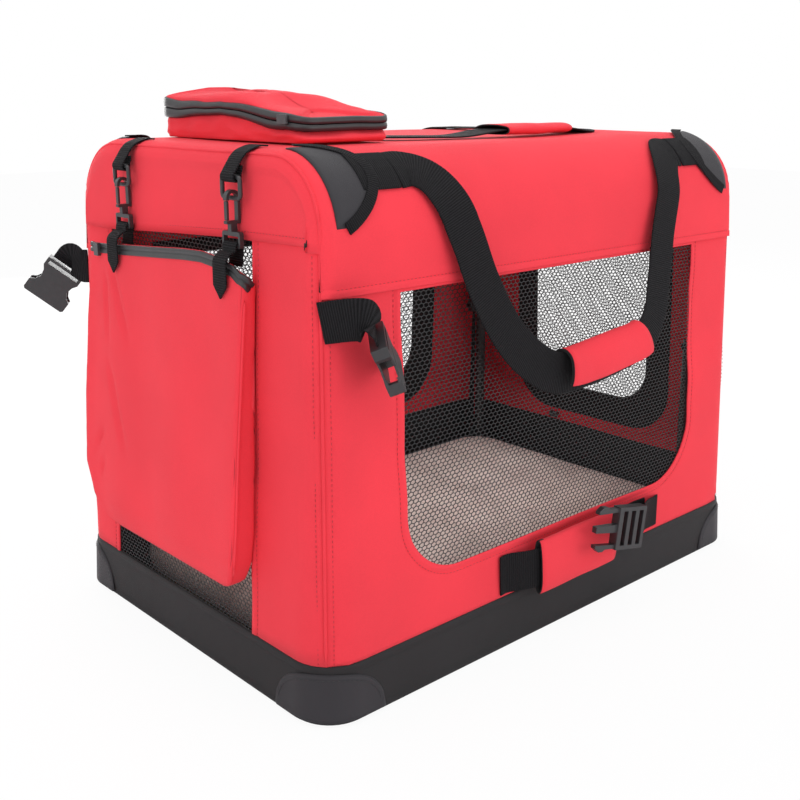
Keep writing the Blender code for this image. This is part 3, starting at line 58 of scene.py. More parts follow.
# %% Sizes of the fabric body
LENGTH = 0.600
WIDTH = 0.410
HEIGHT = 0.460
LEAN = 0.019
SHOULDER = 0.060
SHOULDER_Z = HEIGHT - SHOULDER
BAND = 0.052
WALL_LOW = BAND + 0.0003
WALL_TOP = SHOULDER_Z - 0.0003
CORNER_LOW = 0.038
CORNER_HIGH = 0.014
CLOTH = 0.0015
VALANCE_Z = 0.352
END_HEM_Z = 0.386
ALONG = {"front": (1, 0), "back": (1, 0), "left": (0, 1), "right": (0, 1)}
OUTWARD = {"front": (0, -1), "back": (0, 1), "left": (-1, 0), "right": (1, 0)}


def half_length(z):
    return LENGTH / 2 - LEAN * z / HEIGHT


def half_width(z):
    return WIDTH / 2 - LEAN * z / HEIGHT


def corner_radius(z):
    share = (z - WALL_LOW) / (WALL_TOP - WALL_LOW)
    return CORNER_LOW + (CORNER_HIGH - CORNER_LOW) * min(1.0, max(0.0, share))


def reaches(side, z):
    """How far the wall stands out, and how far it runs to each side."""
    if side in ("front", "back"):
        return half_width(z), half_length(z)
    return half_length(z), half_width(z)


def wall_span(side, z):
    """The distance along the cloth from a wall's middle to its corner seam."""
    return reaches(side, z)[1] - corner_radius(z) * (1 - math.pi / 4)


def wall_point(side, s, z, out=0.0):
    """A point on a wall: s runs along the cloth from the middle, round the corner too."""
    reach, run = reaches(side, z)
    radius = corner_radius(z)
    flat = run - radius
    turn = max(0.0, abs(s) - flat) / radius
    sideways = math.copysign(min(abs(s), flat) + (radius + out) * math.sin(turn), s)
    outwards = reach - radius + (radius + out) * math.cos(turn)
    a, o = ALONG[side], OUTWARD[side]
    return Vector((a[0] * sideways + o[0] * outwards, a[1] * sideways + o[1] * outwards, z))


def wall_normal(side, s, z):
    base = wall_point(side, s, z)
    return (wall_point(side, s, z, 0.01) - base).normalized()


print("body", LENGTH, "x", WIDTH, "x", HEIGHT, "m")

# %% [markdown]
# A photograph has to be matched from its own viewpoint. The camera's place and lens were worked
# out from the straight edges of the body, and its picture is moved a little upwards.

# %% Camera
camera_data = bpy.data.cameras.new("studio_camera")
camera = bpy.data.objects.new("studio_camera", camera_data)
bpy.context.scene.collection.objects.link(camera)
bpy.context.scene.camera = camera
camera_data.lens = 48.436
camera_data.sensor_width = 36.0
camera_data.shift_y = -0.05
camera_data.clip_start = 0.02
camera.location = (-0.7703, -0.8095, 0.5021)
yaw, pitch = math.radians(42.409), math.radians(13.955)
looking = Vector((math.sin(yaw) * math.cos(pitch), math.cos(yaw) * math.cos(pitch), -math.sin(pitch)))
camera.rotation_mode = "QUATERNION"
camera.rotation_quaternion = looking.to_track_quat("-Z", "Y")
print("camera looks along", tuple(round(a, 3) for a in looking))

# %% [markdown]
# Materials are small node trees. A cloth is a colour with a slow mottling, a fine weave in its
# bump and a soft sheen. The weave follows the cloth's own map, which is laid out in metres, so
# its threads have their real size on every piece.

# %% Material helpers


def material(name, colour, roughness, **sockets):
    """A new material, and its node tree, links and Principled shader."""
    made = bpy.data.materials.new(name)
    made.use_nodes = True
    tree = made.node_tree
    shader = tree.nodes["Principled BSDF"]
    shader.inputs["Base Color"].default_value = (*colour, 1.0)
    shader.inputs["Roughness"].default_value = roughness
    for socket, value in sockets.items():
        shader.inputs[socket.replace("_", " ")].default_value = value
    made.diffuse_color = (*colour, 1.0)
    return made, tree, shader


def node(tree, kind, **settings):
    made = tree.nodes.new(kind)
    for key, value in settings.items():
        if key in made.inputs:
            made.inputs[key].default_value = value
        else:
            setattr(made, key, value)
    return made


def coordinates(tree, kind, scale=(1, 1, 1)):
    """Object or UV coordinates through a Mapping node."""
    source = node(tree, "ShaderNodeTexCoord")
    mapping = node(tree, "ShaderNodeMapping")
    mapping.inputs["Scale"].default_value = scale
    tree.links.new(source.outputs[kind], mapping.inputs["Vector"])
    return mapping.outputs["Vector"]


def noise_of(tree, vector, scale, detail=3.0, rough=0.5):
    made = node(tree, "ShaderNodeTexNoise", Scale=scale, Detail=detail, Roughness=rough)
    tree.links.new(vector, made.inputs["Vector"])
    return made.outputs["Fac"]


def ramp(tree, factor, stops):
    """A colour ramp with (place, colour) stops."""
    made = node(tree, "ShaderNodeValToRGB")
    elements = made.color_ramp.elements
    elements[0].position, elements[0].color = stops[0][0], (*stops[0][1], 1)
    elements[1].position, elements[1].color = stops[-1][0], (*stops[-1][1], 1)
    for place, colour in stops[1:-1]:
        element = elements.new(place)
        element.color = (*colour, 1)
    tree.links.new(factor, made.inputs["Fac"])
    return made.outputs["Color"]


def math_node(tree, operation, *values):
    """A Math node whose inputs are numbers or other nodes' outputs."""
    made = node(tree, "ShaderNodeMath", operation=operation)
    for socket, value in zip(made.inputs, values):
        if isinstance(value, (int, float)):
            socket.default_value = value
        else:
            tree.links.new(value, socket)
    return made.outputs[0]


def separate(tree, vector):
    """The three outputs of a vector."""
    made = node(tree, "ShaderNodeSeparateXYZ")
    tree.links.new(vector, made.inputs[0])
    return made.outputs


def waves(tree, value, turns):
    """A sine wave with a number of turns for each unit of a value."""
    return math_node(tree, "SINE", math_node(tree, "MULTIPLY", value, 2 * math.pi * turns))


def bump(tree, shader, height, distance, strength=1.0, under=None):
    made = node(tree, "ShaderNodeBump", Strength=strength, Distance=distance)
    tree.links.new(height, made.inputs["Height"])
    if under is not None:
        tree.links.new(under, made.inputs["Normal"])
    tree.links.new(made.outputs["Normal"], shader.inputs["Normal"])
    return made.outputs["Normal"]


def shades(colour, low, high):
    return tuple(c * low for c in colour), tuple(min(1.0, c * high) for c in colour)


print("material helpers ready")

# %% [markdown]
# The red cloth is a coated plain weave: matt, with a thread about half a millimetre wide.

# %% Red cloth
RED = (0.835, 0.040, 0.060)


def weave(tree, period):
    """Height of a plain weave, from two crossed waves of the cloth's own map."""
    parts = separate(tree, coordinates(tree, "UV", (1 / period, 1 / period, 1)))
    return math_node(tree, "MULTIPLY", waves(tree, parts[0], 1), waves(tree, parts[1], 1))


def cloth_material(name, colour, period=0.0009, roughness=0.80, sheen=0.03, mottling=(0.93, 1.05)):
    made, tree, shader = material(name, colour, roughness, Sheen_Weight=sheen, Sheen_Roughness=0.5,
                                  Specular_IOR_Level=0.28)
    place = coordinates(tree, "Object")
    slow = noise_of(tree, place, 9.0, 4.0)
    fine = noise_of(tree, place, 900.0, 2.0)
    dark, light = shades(colour, *mottling)
    colours = ramp(tree, slow, ((0.3, dark), (0.7, light)))
    speck = node(tree, "ShaderNodeMix", data_type="RGBA", blend_type="MULTIPLY")
    speck.inputs[0].default_value = 0.10
    tree.links.new(colours, speck.inputs[6])
    tree.links.new(ramp(tree, fine, ((0.35, (0.6, 0.6, 0.6)), (0.65, (1, 1, 1)))), speck.inputs[7])
    tree.links.new(speck.outputs[2], shader.inputs["Base Color"])
    soft = bump(tree, shader, noise_of(tree, place, 14.0, 3.0), 0.006, 0.35)
    bump(tree, shader, weave(tree, period), 0.00012, 0.5, soft)
    return made


red_cloth = cloth_material("red_cloth", RED)
print("red cloth ready")

# %% [markdown]
# Three black cloths share the recipe: the coated band round the base, the smooth patches on the
# corners, and the binding and tape inside.

# %% Black cloths
band_cloth = cloth_material("band_cloth", (0.0145, 0.0130, 0.0140), 0.0011, 0.62, 0.02, (0.85, 1.15))
patch_cloth = cloth_material("patch_cloth", (0.026, 0.024, 0.028), 0.0008, 0.52, 0.03, (0.9, 1.1))
tape_cloth = cloth_material("tape_cloth", (0.012, 0.012, 0.013), 0.0010, 0.8, 0.05, (0.8, 1.2))
print("black cloths ready")

# %% [markdown]
# Inside, the walls are the same red cloth, painted a darker red as the shade inside the carrier,
# with black binding over the corner seams and along the floor. Rather than many thin strips, the
# lining picks black where the wall is low or near a corner, read from its place on the object.

# %% Lining
LINING_BLACK_Z = 0.086


def lining_material(name, axis, limit):
    """Red cloth painted darker as the shade inside, that turns black below a height and beyond a limit along
    x (0) or y (1).
    """
    made, tree, shader = material(name, (0.35, 0.012, 0.03), 0.85)
    source = node(tree, "ShaderNodeTexCoord")
    parts = separate(tree, source.outputs["Object"])
    low = math_node(tree, "LESS_THAN", parts[2], LINING_BLACK_Z)
    reach = math_node(tree, "ABSOLUTE", parts[axis])
    beyond = math_node(tree, "GREATER_THAN", reach, limit)
    black = math_node(tree, "MAXIMUM", low, beyond)
    mix = node(tree, "ShaderNodeMix", data_type="RGBA")
    slow = noise_of(tree, source.outputs["Object"], 12.0, 4.0)
    tree.links.new(black, mix.inputs[0])
    # These reds are darker than the outside red: painted shade.
    painted_shade_reds = ((0.3, (0.60, 0.020, 0.035)), (0.7, (0.72, 0.026, 0.045)))
    tree.links.new(ramp(tree, slow, painted_shade_reds), mix.inputs[6])
    mix.inputs[7].default_value = (0.010, 0.010, 0.011, 1)
    tree.links.new(mix.outputs[2], shader.inputs["Base Color"])
    bump(tree, shader, weave(tree, 0.0009), 0.00012, 0.5)
    return made


lining_long = lining_material("lining_long", 0, 0.278)
lining_end = lining_material("lining_end", 1, 0.179)
print("lining ready")

# %% [markdown]
# Webbing is woven in a rib: strong lines across the strap, a finer pattern along it, and thick
# edges. Its map runs across (first) and along (second) the strap.

# %% Webbing, thread and net


def webbing_material(name, colour, rib=0.0020):
    made, tree, shader = material(name, colour, 0.72, Sheen_Weight=0.0, Specular_IOR_Level=0.12)
    parts = separate(tree, coordinates(tree, "UV"))
    ribs = waves(tree, parts[1], 1 / rib)
    cross = waves(tree, parts[0], 1 / (rib * 0.6))
    crossed = math_node(tree, "MULTIPLY", math_node(tree, "MULTIPLY", ribs, cross), 0.45)
    height = math_node(tree, "ADD", math_node(tree, "MULTIPLY", ribs, 0.7), crossed)
    # Fine specks: small bumps which, through the colour below, are also painted glints of light.
    speck_bumps_and_glints = noise_of(tree, coordinates(tree, "Object"), 700.0, 2.0, 0.6)
    height = math_node(tree, "ADD", height, math_node(tree, "MULTIPLY_ADD", speck_bumps_and_glints, 1.6, -0.8))
    # The heights also set the colour: painted highlight on the rib crests and specks, painted shade in the
    # grooves.
    dark, light = shades(colour, 0.45, 2.2)
    rib_highlight_and_shade = math_node(tree, "MULTIPLY_ADD", height, 0.5, 0.5)
    tree.links.new(ramp(tree, rib_highlight_and_shade, ((0.2, dark), (0.85, light))), shader.inputs["Base Color"])
    bump(tree, shader, height, 0.0005, 0.8)
    return made


webbing = webbing_material("webbing", (0.0085, 0.0080, 0.0090))


def plain_material(name, colour, roughness, grain, depth, spread=(0.8, 1.2), **sockets):
    """A finish without a map: mottled colour and a grain in the bump."""
    made, tree, shader = material(name, colour, roughness, **sockets)
    place = coordinates(tree, "Object")
    dark, light = shades(colour, *spread)
    tree.links.new(ramp(tree, noise_of(tree, place, grain / 8), ((0.3, dark), (0.7, light))),
                   shader.inputs["Base Color"])
    bump(tree, shader, noise_of(tree, place, grain, 2.0), depth, 0.5)
    return made


red_thread = plain_material("red_thread", (0.42, 0.02, 0.03), 0.6, 2500, 0.0001)
black_thread = plain_material("black_thread", (0.02, 0.02, 0.022), 0.5, 2500, 0.0001)
net_yarn = plain_material("net_yarn", (0.008, 0.008, 0.009), 0.55, 3000, 0.0001)
print("webbing, thread and net ready")

# %% [markdown]
# The buckles, hooks and sliders are moulded in dark grey plastic with a satin face. The frame's
# tubes are steel with a black coat. The mat is short beige plush, and the board is fibreboard.

# %% Plastic, steel, plush and board
plastic = plain_material("dark_plastic", (0.024, 0.0235, 0.0255), 0.36, 1800, 0.00008, (0.9, 1.15))
coated_steel = plain_material("coated_steel", (0.018, 0.018, 0.019), 0.38, 700, 0.00006, (0.85, 1.2))
zip_metal = plain_material("zip_puller", (0.09, 0.09, 0.095), 0.35, 1500, 0.00005, (0.9, 1.1), Metallic=0.7)
fibreboard = plain_material("fibreboard", (0.30, 0.21, 0.13), 0.85, 500, 0.0003, (0.7, 1.2))


def plush_material():
    made, tree, shader = material("plush", (0.66, 0.56, 0.46), 0.95, Sheen_Weight=0.5, Sheen_Roughness=0.6)
    place = coordinates(tree, "Object")
    tufts = noise_of(tree, place, 260.0, 5.0, 0.65)
    slow = noise_of(tree, place, 18.0, 3.0)
    mixed = math_node(tree, "MULTIPLY", math_node(tree, "ADD", tufts, slow), 0.5)
    tree.links.new(ramp(tree, mixed, ((0.36, (0.50, 0.36, 0.30)), (0.5, (0.68, 0.53, 0.46)),
                                      (0.66, (0.82, 0.68, 0.60)))), shader.inputs["Base Color"])
    bump(tree, shader, tufts, 0.004, 0.9)
    return made


plush = plush_material()
print("hard finishes and plush ready")

# %% [markdown]
# Most cloth here starts as a flat grid that is bent into place: every corner of the grid gets a
# point in space and a place on the cloth's map. Closed shapes are the same grid with its two
# edges welded together.

# %% Mesh helpers
INSIDE = Vector((0, 0, 0.2))
CORNERS = ((1, 1), (-1, 1), (-1, -1), (1, -1))


def bent_grid(across, along, place, weld=0.00002):
    """A grid bent by place(u, v), which gives a point and its place on the cloth in metres."""
    bm = bmesh.new()
    bmesh.ops.create_grid(bm, x_segments=across, y_segments=along, size=0.5)
    layer = bm.loops.layers.uv.new("cloth")
    made = {vert: place(vert.co.x + 0.5, vert.co.y + 0.5) for vert in bm.verts}
    for face in bm.faces:
        for loop in face.loops:
            loop[layer].uv = made[loop.vert][1]
    for vert, placed in made.items():
        vert.co = placed[0]
    bmesh.ops.remove_doubles(bm, verts=bm.verts, dist=weld)
    thin = [face for face in bm.faces if face.calc_area() < 1e-10]
    if thin:
        bmesh.ops.dissolve_degenerate(bm, dist=weld, edges=bm.edges)
    return bm


def face_out(bm, away_from):
    """Turns an open sheet so that its faces look away from a point."""
    vote = sum((face.calc_center_median() - away_from).dot(face.normal) * face.calc_area()
               for face in bm.faces)
    if vote < 0:
        bmesh.ops.reverse_faces(bm, faces=bm.faces)


def place_piece(name, bm, body, materials, replaces=(), smooth=True):
    """The finished bmesh becomes an object that rides on a body."""
    mesh = bpy.data.meshes.new(name)
    bm.to_mesh(mesh)
    bm.free()
    obj = bpy.data.objects.new(name, mesh)
    bpy.context.scene.collection.objects.link(obj)
    for item in materials:
        mesh.materials.append(item)
    mesh.polygons.foreach_set("use_smooth", [smooth] * len(mesh.polygons))
    if body:
        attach(obj, body)
    if replaces:
        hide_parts(*replaces)
    return obj


def thickness(obj, depth, inner_slot=0, offset=-1.0):
    solid = obj.modifiers.new("thickness", "SOLIDIFY")
    solid.thickness = depth
    solid.offset = offset
    solid.use_even_offset = False
    solid.material_offset = inner_slot
    return obj


def subdivide(obj, level=1):
    made = obj.modifiers.new("smooth", "SUBSURF")
    made.levels = level
    made.render_levels = level
    return obj


def smoothstep(x):
    x = min(1.0, max(0.0, x))
    return x * x * (3 - 2 * x)


def spline(points, per_span=6):
    """A smooth curve through points."""
    points = [Vector(p) for p in points]
    ends = [2 * points[0] - points[1]] + points + [2 * points[-1] - points[-2]]
    curve = []
    for a, b, c, d in zip(ends, ends[1:], ends[2:], ends[3:]):
        for step in range(per_span):
            t = step / per_span
            curve.append(0.5 * (2 * b + (c - a) * t + (2 * a - 5 * b + 4 * c - d) * t * t
                                + (3 * b - a - 3 * c + d) * t ** 3))
    curve.append(points[-1])
    return curve


def flat_spline(pairs, per_span):
    """A smooth curve through pairs of numbers."""
    return [(p.x, p.y) for p in spline([Vector((a, b, 0)) for a, b in pairs], per_span)]


def lengths(path):
    """The distance along a path at each of its points."""
    run = [0.0]
    for a, b in zip(path, path[1:]):
        run.append(run[-1] + (b - a).length)
    return run


def at_length(path, run, distance):
    """The point and direction at a distance along a path."""
    index = min(max(int(np.searchsorted(run, distance)) - 1, 0), len(path) - 2)
    share = (distance - run[index]) / max(run[index + 1] - run[index], 1e-9)
    step = path[index + 1] - path[index]
    return path[index] + step * share, step.normalized(), index, share


def tangent(path, k):
    """The direction of a path at one of its points."""
    return (path[min(k + 1, len(path) - 1)] - path[max(k - 1, 0)]).normalized()


def ribbon_axes(path, normals, k):
    """The direction across a ribbon and the one off its face, at one point of its path."""
    along = tangent(path, k)
    across = along.cross(Vector(normals[k])).normalized()
    return across, across.cross(along).normalized()


def close_skin(bm, sides=0):
    """Caps a skin's open ends and turns its faces outwards."""
    bmesh.ops.holes_fill(bm, edges=bm.edges, sides=sides)
    bmesh.ops.recalc_face_normals(bm, faces=bm.faces)
    return bm


def cloth(obj, flat):
    """Returns the piece as it is; flat, the size it was cut to less its openings, is not used."""
    return obj


print("mesh helpers ready")

# %% [markdown]
# Stitches are real little threads: a row of thin beads sunk halfway into the cloth. A ball of
# twenty faces, stretched to a stitch's length, is enough for each.

# %% Stitch helper
STITCH_PITCH = 0.0042
STITCH_LENGTH = 0.0029
STITCH_RADIUS = 0.00032


def stitches(name, rows, body, thread, pitch=STITCH_PITCH, size=1.0):
    """One object of stitches along rows, each a (path, normals) pair."""
    bm = bmesh.new()
    for path, normals in rows:
        run = lengths(path)
        count = max(1, int(run[-1] / pitch))
        for k in range(count):
            point, along, index, share = at_length(path, run, (k + 0.5) * run[-1] / count)
            normal = normals[index].lerp(normals[index + 1], share)
            across = along.cross(normal).normalized()
            normal = across.cross(along).normalized()
            turn = Matrix((along, across, normal)).transposed().to_4x4()
            size_matrix = Matrix.Diagonal((STITCH_LENGTH / 2 * pitch / STITCH_PITCH, STITCH_RADIUS * size,
                                           STITCH_RADIUS * 0.8 * size, 1))
            bmesh.ops.create_icosphere(bm, subdivisions=1, radius=1.0,
                                       matrix=Matrix.Translation(point) @ turn @ size_matrix)
    return place_piece(name, bm, body, [thread])


def squash_wall(obj):
    """Gives the piece a mesh of its own."""
    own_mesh(obj)
    return obj


# %% [markdown]
# A wall is a flat panel of cloth with a window cut in it. A grid that runs round the window gives
# even faces and a clean edge: its first rows are the folded hem, its last row is the wall's rim.
# The hem is a little thicker and ends in a dip where the stitches pull the cloth in.

# %% Windows
WINDOW_TOP = 0.349
WINDOW_BOTTOM = 0.103
NET_TOP = 0.388
WINDOWS = {"front": (0.205, 0.062), "back": (0.205, 0.062), "right": (0.115, 0.055)}
LEFT_CENTRE = 0.0115
LEFT_HALF = 0.1155
HEM = 0.0078
HEM_ROWS = (0.0, 0.0010, 0.0030, 0.0052, 0.0070, 0.0078, 0.0086, 0.0104, 0.0140)
OPEN_ROWS = 12


def arc(cx, cz, radius, start, end, steps):
    return [(cx + radius * math.cos(start + (end - start) * k / steps),
             cz + radius * math.sin(start + (end - start) * k / steps)) for k in range(steps + 1)]


def even(points, step):
    """Adds points along the long straight pieces of an outline."""
    made = [points[0]]
    for a, b in zip(points, points[1:]):
        pieces = max(1, round(math.dist(a, b) / step))
        made += [(a[0] + (b[0] - a[0]) * k / pieces, a[1] + (b[1] - a[1]) * k / pieces)
                 for k in range(1, pieces + 1)]
    return made


def window_outline(side, grow=0.0, step=0.009):
    """The closed outline of a window, grown outwards a little if asked, as (s, z)."""
    half, corner = WINDOWS[side]
    half, corner, low, top = half + grow, corner + grow, WINDOW_BOTTOM - grow, WINDOW_TOP + grow
    points = [(half, top), (-half, top), (-half, low + corner)]
    points += arc(-half + corner, low + corner, corner, math.pi, 1.5 * math.pi, 14)[1:]
    points += arc(half - corner, low + corner, corner, 1.5 * math.pi, 2 * math.pi, 14)
    return even(points + [(half, top)], step)


def left_outline(grow=0.0, step=0.009):
    """The left end's opening, from the tray up, across and down again."""
    low, high, top = LEFT_CENTRE - LEFT_HALF - grow, LEFT_CENTRE + LEFT_HALF + grow, NET_TOP + grow
    return even([(low, WALL_LOW), (low, top), (high, top), (high, WALL_LOW)], step)


def rim_points(side, inner, centre):
    """For each window point, the point of the wall's rim in the same direction from the centre."""
    tall = WALL_TOP - WALL_LOW

    def flat(point):
        return point[0] / wall_span(side, point[1]), (point[1] - WALL_LOW) / tall * 2 - 1

    mid = flat(centre)
    found = []
    for point in inner:
        x, z = flat(point)
        dx, dz = x - mid[0], z - mid[1]
        ways = []
        if abs(dx) > 1e-9:
            ways.append((math.copysign(1, dx) - mid[0]) / dx)
        if abs(dz) > 1e-9:
            ways.append((math.copysign(1, dz) - mid[1]) / dz)
        way = min(ways)
        found.append([mid[0] + dx * way, mid[1] + dz * way])
    for corner in ((-1, -1), (-1, 1), (1, 1), (1, -1)):
        nearest = min(range(len(found)), key=lambda k: math.dist(found[k], corner))
        for k, spot in enumerate(found):
            if math.dist(spot, found[nearest]) < 1e-9:
                spot[:] = corner
    rim = []
    for x, zeta in found:
        z = WALL_LOW + (zeta + 1) / 2 * tall
        rim.append((x * wall_span(side, z), z))
    return rim


def ripple(side, s, z):
    """How far the cloth waves off its flat place, and nothing at the tray and the roof."""
    fade = smoothstep((z - WALL_LOW) / 0.04) * smoothstep((WALL_TOP - z) / 0.05)
    key = {"front": 1.3, "back": 5.1, "left": 8.7, "right": 12.9}[side]
    slow = 0.0022 * noise.noise(Vector((s * 8, z * 9, key)))
    folds = 0.0020 * noise.noise(Vector((s * 9, z * 26, key + 3)))
    near_corner = smoothstep((abs(s) - 0.12) / 0.08)
    return fade * (slow + folds * near_corner)


def hem_height(distance):
    """The hem's step: two layers, a dip at the stitches, then one layer."""
    if distance < HEM_ROWS[1]:
        return 0.0001
    if distance < HEM - 0.0012:
        return 0.0007
    if distance < HEM + 0.0012:
        return -0.0003
    return 0.0


def make_wall(side, inner, centre, lining):
    rim = rim_points(side, inner, centre)
    rows = len(HEM_ROWS) - 1 + OPEN_ROWS
    last = len(inner) - 1

    def place(u, v):
        k, row = round(u * last), round(v * rows)
        a, b = inner[k], rim[k]
        total = math.dist(a, b)
        if row < len(HEM_ROWS):
            distance = HEM_ROWS[row] * min(1.0, total / 0.03)
        else:
            start = HEM_ROWS[-1] * min(1.0, total / 0.03)
            distance = start + (total - start) * (row - len(HEM_ROWS) + 1) / OPEN_ROWS
        share = distance / max(total, 1e-9)
        s, z = a[0] + (b[0] - a[0]) * share, a[1] + (b[1] - a[1]) * share
        out = ripple(side, s, z) * smoothstep((total - distance) / 0.02) + hem_height(distance)
        return wall_point(side, s, z, out), (s, z)

    bm = bent_grid(last, rows, place)
    face_out(bm, INSIDE)
    obj = place_piece(side + "_panel", bm, "base", [red_cloth, lining], [side + "_wall"])
    thickness(obj, CLOTH, 1)
    squash_wall(obj)
    return cloth(obj, (2 * wall_span(side, WALL_LOW), WALL_TOP - WALL_LOW))


walls = {}
for side, lining in (("front", lining_long), ("back", lining_long), ("right", lining_end)):
    middle = (0.0, (WINDOW_BOTTOM + WINDOW_TOP) / 2)
    walls[side] = make_wall(side, window_outline(side), middle, lining)
walls["left"] = make_wall("left", left_outline(), (LEFT_CENTRE, WALL_LOW), lining_end)
print("walls with", sum(len(w.data.polygons) for w in walls.values()), "faces")

# %% [markdown]
# A row of stitches follows each window, just inside the edge of its hem.

# %% Window stitches


def wall_path(side, points, out):
    path = [wall_point(side, s, z, out + ripple(side, s, z)) for s, z in points]
    return path, [wall_normal(side, s, z) for s, z in points]


rows = []
for side in ("front", "back", "right"):
    rows.append(wall_path(side, window_outline(side, HEM), 0.0001))
rows.append(wall_path("left", left_outline(HEM), 0.0001))
window_stitches = squash_wall(stitches("window_stitches", rows, "base", red_thread))
print("window stitches:", len(window_stitches.data.polygons) // 20)

# %% [markdown]
# The four panels meet at upright seams in the middle of the rounded corners. A seam is a thin
# welt with a row of stitches beside it on each side.

# %% Corner seams
WELT = 0.0016


def tube(path, radius, sides=8, flat=1.0):
    """A closed round skin along a path, slimmer by flat in its own normal."""
    run = lengths(path)

    def place(u, v):
        k = round(v * (len(path) - 1))
        along = tangent(path, k)
        side_way = along.cross(Vector((0, 0, 1)))
        if side_way.length < 0.2:
            side_way = along.cross(Vector((1, 0, 0)))
        side_way.normalize()
        up = side_way.cross(along)
        angle = 2 * math.pi * u
        end = 0.5 if k in (0, len(path) - 1) else 1.0
        return (path[k] + (side_way * math.cos(angle) + up * math.sin(angle) * flat) * radius * end,
                (radius * angle, run[k]))

    return close_skin(bent_grid(sides, len(path) - 1, place), sides + 1)


def merge(parts):
    """Several bmeshes become one."""
    whole = parts[0]
    for part in parts[1:]:
        mesh = bpy.data.meshes.new("part")
        part.to_mesh(mesh)
        part.free()
        whole.from_mesh(mesh)
        bpy.data.meshes.remove(mesh)
    return whole


def corner_point(sx, sy, z, out):
    reach = corner_radius(z) * (1 - math.sqrt(0.5)) - out * math.sqrt(0.5)
    return Vector((sx * (half_length(z) - reach), sy * (half_width(z) - reach), z))


seam_levels = [WALL_LOW + (WALL_TOP - WALL_LOW) * k / 24 for k in range(25)]
welts = merge([tube([corner_point(sx, sy, z, -0.0006) for z in seam_levels], WELT)
               for sx in (-1, 1) for sy in (-1, 1)])
squash_wall(place_piece("corner_welts", welts, "base", [red_cloth]))
rows = []
for side in ALONG:
    for sign in (-1, 1):
        points = [(sign * (wall_span(side, z) - 0.0065), z) for z in seam_levels[:-1]]
        rows.append(wall_path(side, points, 0.0))
seam_stitches = squash_wall(stitches("seam_stitches", rows, "base", red_thread))
print("corner seams:", 4, "with", len(seam_stitches.data.polygons) // 20, "stitches")

# %% [markdown]
# The roof is one sheet that comes up over the front, bends over the long edge, and goes down the
# back. It ends in a hem that hangs a little in front of each wall. At both ends it turns a small
# round edge into an end flap. The grid's rows are cross-sections from the front hem to the back.

# %% Roof
ROOF_EDGE = 0.014
VALANCE_OUT = 0.0019
HEM_LEVELS = (0.0, 0.0010, 0.0032, 0.0052, 0.0060, 0.0068, 0.0086, 0.0160, 0.0300, 0.0420)
SHOULDER_STEPS = 12
ROOF_STEPS = 22


def section_levels():
    """Marks of the cross-section: ("wall", z), ("round", angle) or ("flat", share)."""
    side_marks = [("wall", VALANCE_Z + rise) for rise in HEM_LEVELS]
    side_marks += [("round", math.pi / 2 * k / SHOULDER_STEPS) for k in range(SHOULDER_STEPS + 1)]
    flat_marks = [("flat", k / ROOF_STEPS * 2 - 1) for k in range(1, ROOF_STEPS)]
    return ([(kind, value, -1) for kind, value in side_marks]
            + [(kind, value, 0) for kind, value in flat_marks]
            + [(kind, value, 1) for kind, value in reversed(side_marks)])


MARKS = section_levels()


def section(mark, hem_z, inset):
    """A point of the roof's cross-section as (y, z), pulled in by inset."""
    kind, value, sy = mark
    if kind == "wall":
        z = max(value, hem_z)
        if z < SHOULDER_Z:
            return sy * (half_width(z) - inset), z
        kind, value = "round", 0.0
    if kind == "round":
        radius = SHOULDER - inset
        y = half_width(SHOULDER_Z + SHOULDER * math.sin(value)) - SHOULDER + radius * math.cos(value)
        return sy * y, SHOULDER_Z + radius * math.sin(value)
    reach = half_width(HEIGHT) - SHOULDER
    return value * reach, HEIGHT - inset


def roof_rows():
    """Rows along X: (kind, value) with the end flaps, the round edges and the long middle."""
    flap = [("flap", k / 9) for k in range(9, 0, -1)]
    edge = [("edge", math.radians(a)) for a in (90, 72, 56, 46, 44, 30, 15)]
    middle = [("span", k / 34 * 2 - 1) for k in range(35)]
    left = [(kind, value, -1) for kind, value in flap + edge]
    right = [(kind, value, 1) for kind, value in reversed(flap + edge)]
    return left + [(kind, value, 0) for kind, value in middle] + right


ROOF_ROWS = roof_rows()


LEFT_HEM = ((-0.190, 0.0050), (-0.070, 0.0020), (0.016, -0.0023), (0.130, -0.0090), (0.190, -0.0080))


def between(table, at):
    """A value read from a table of (place, value), straight between its rows."""
    at = min(table[-1][0], max(table[0][0], at))
    for (a, low), (b, high) in zip(table, table[1:]):
        if at <= b:
            return low + (high - low) * (at - a) / (b - a)
    return table[-1][1]


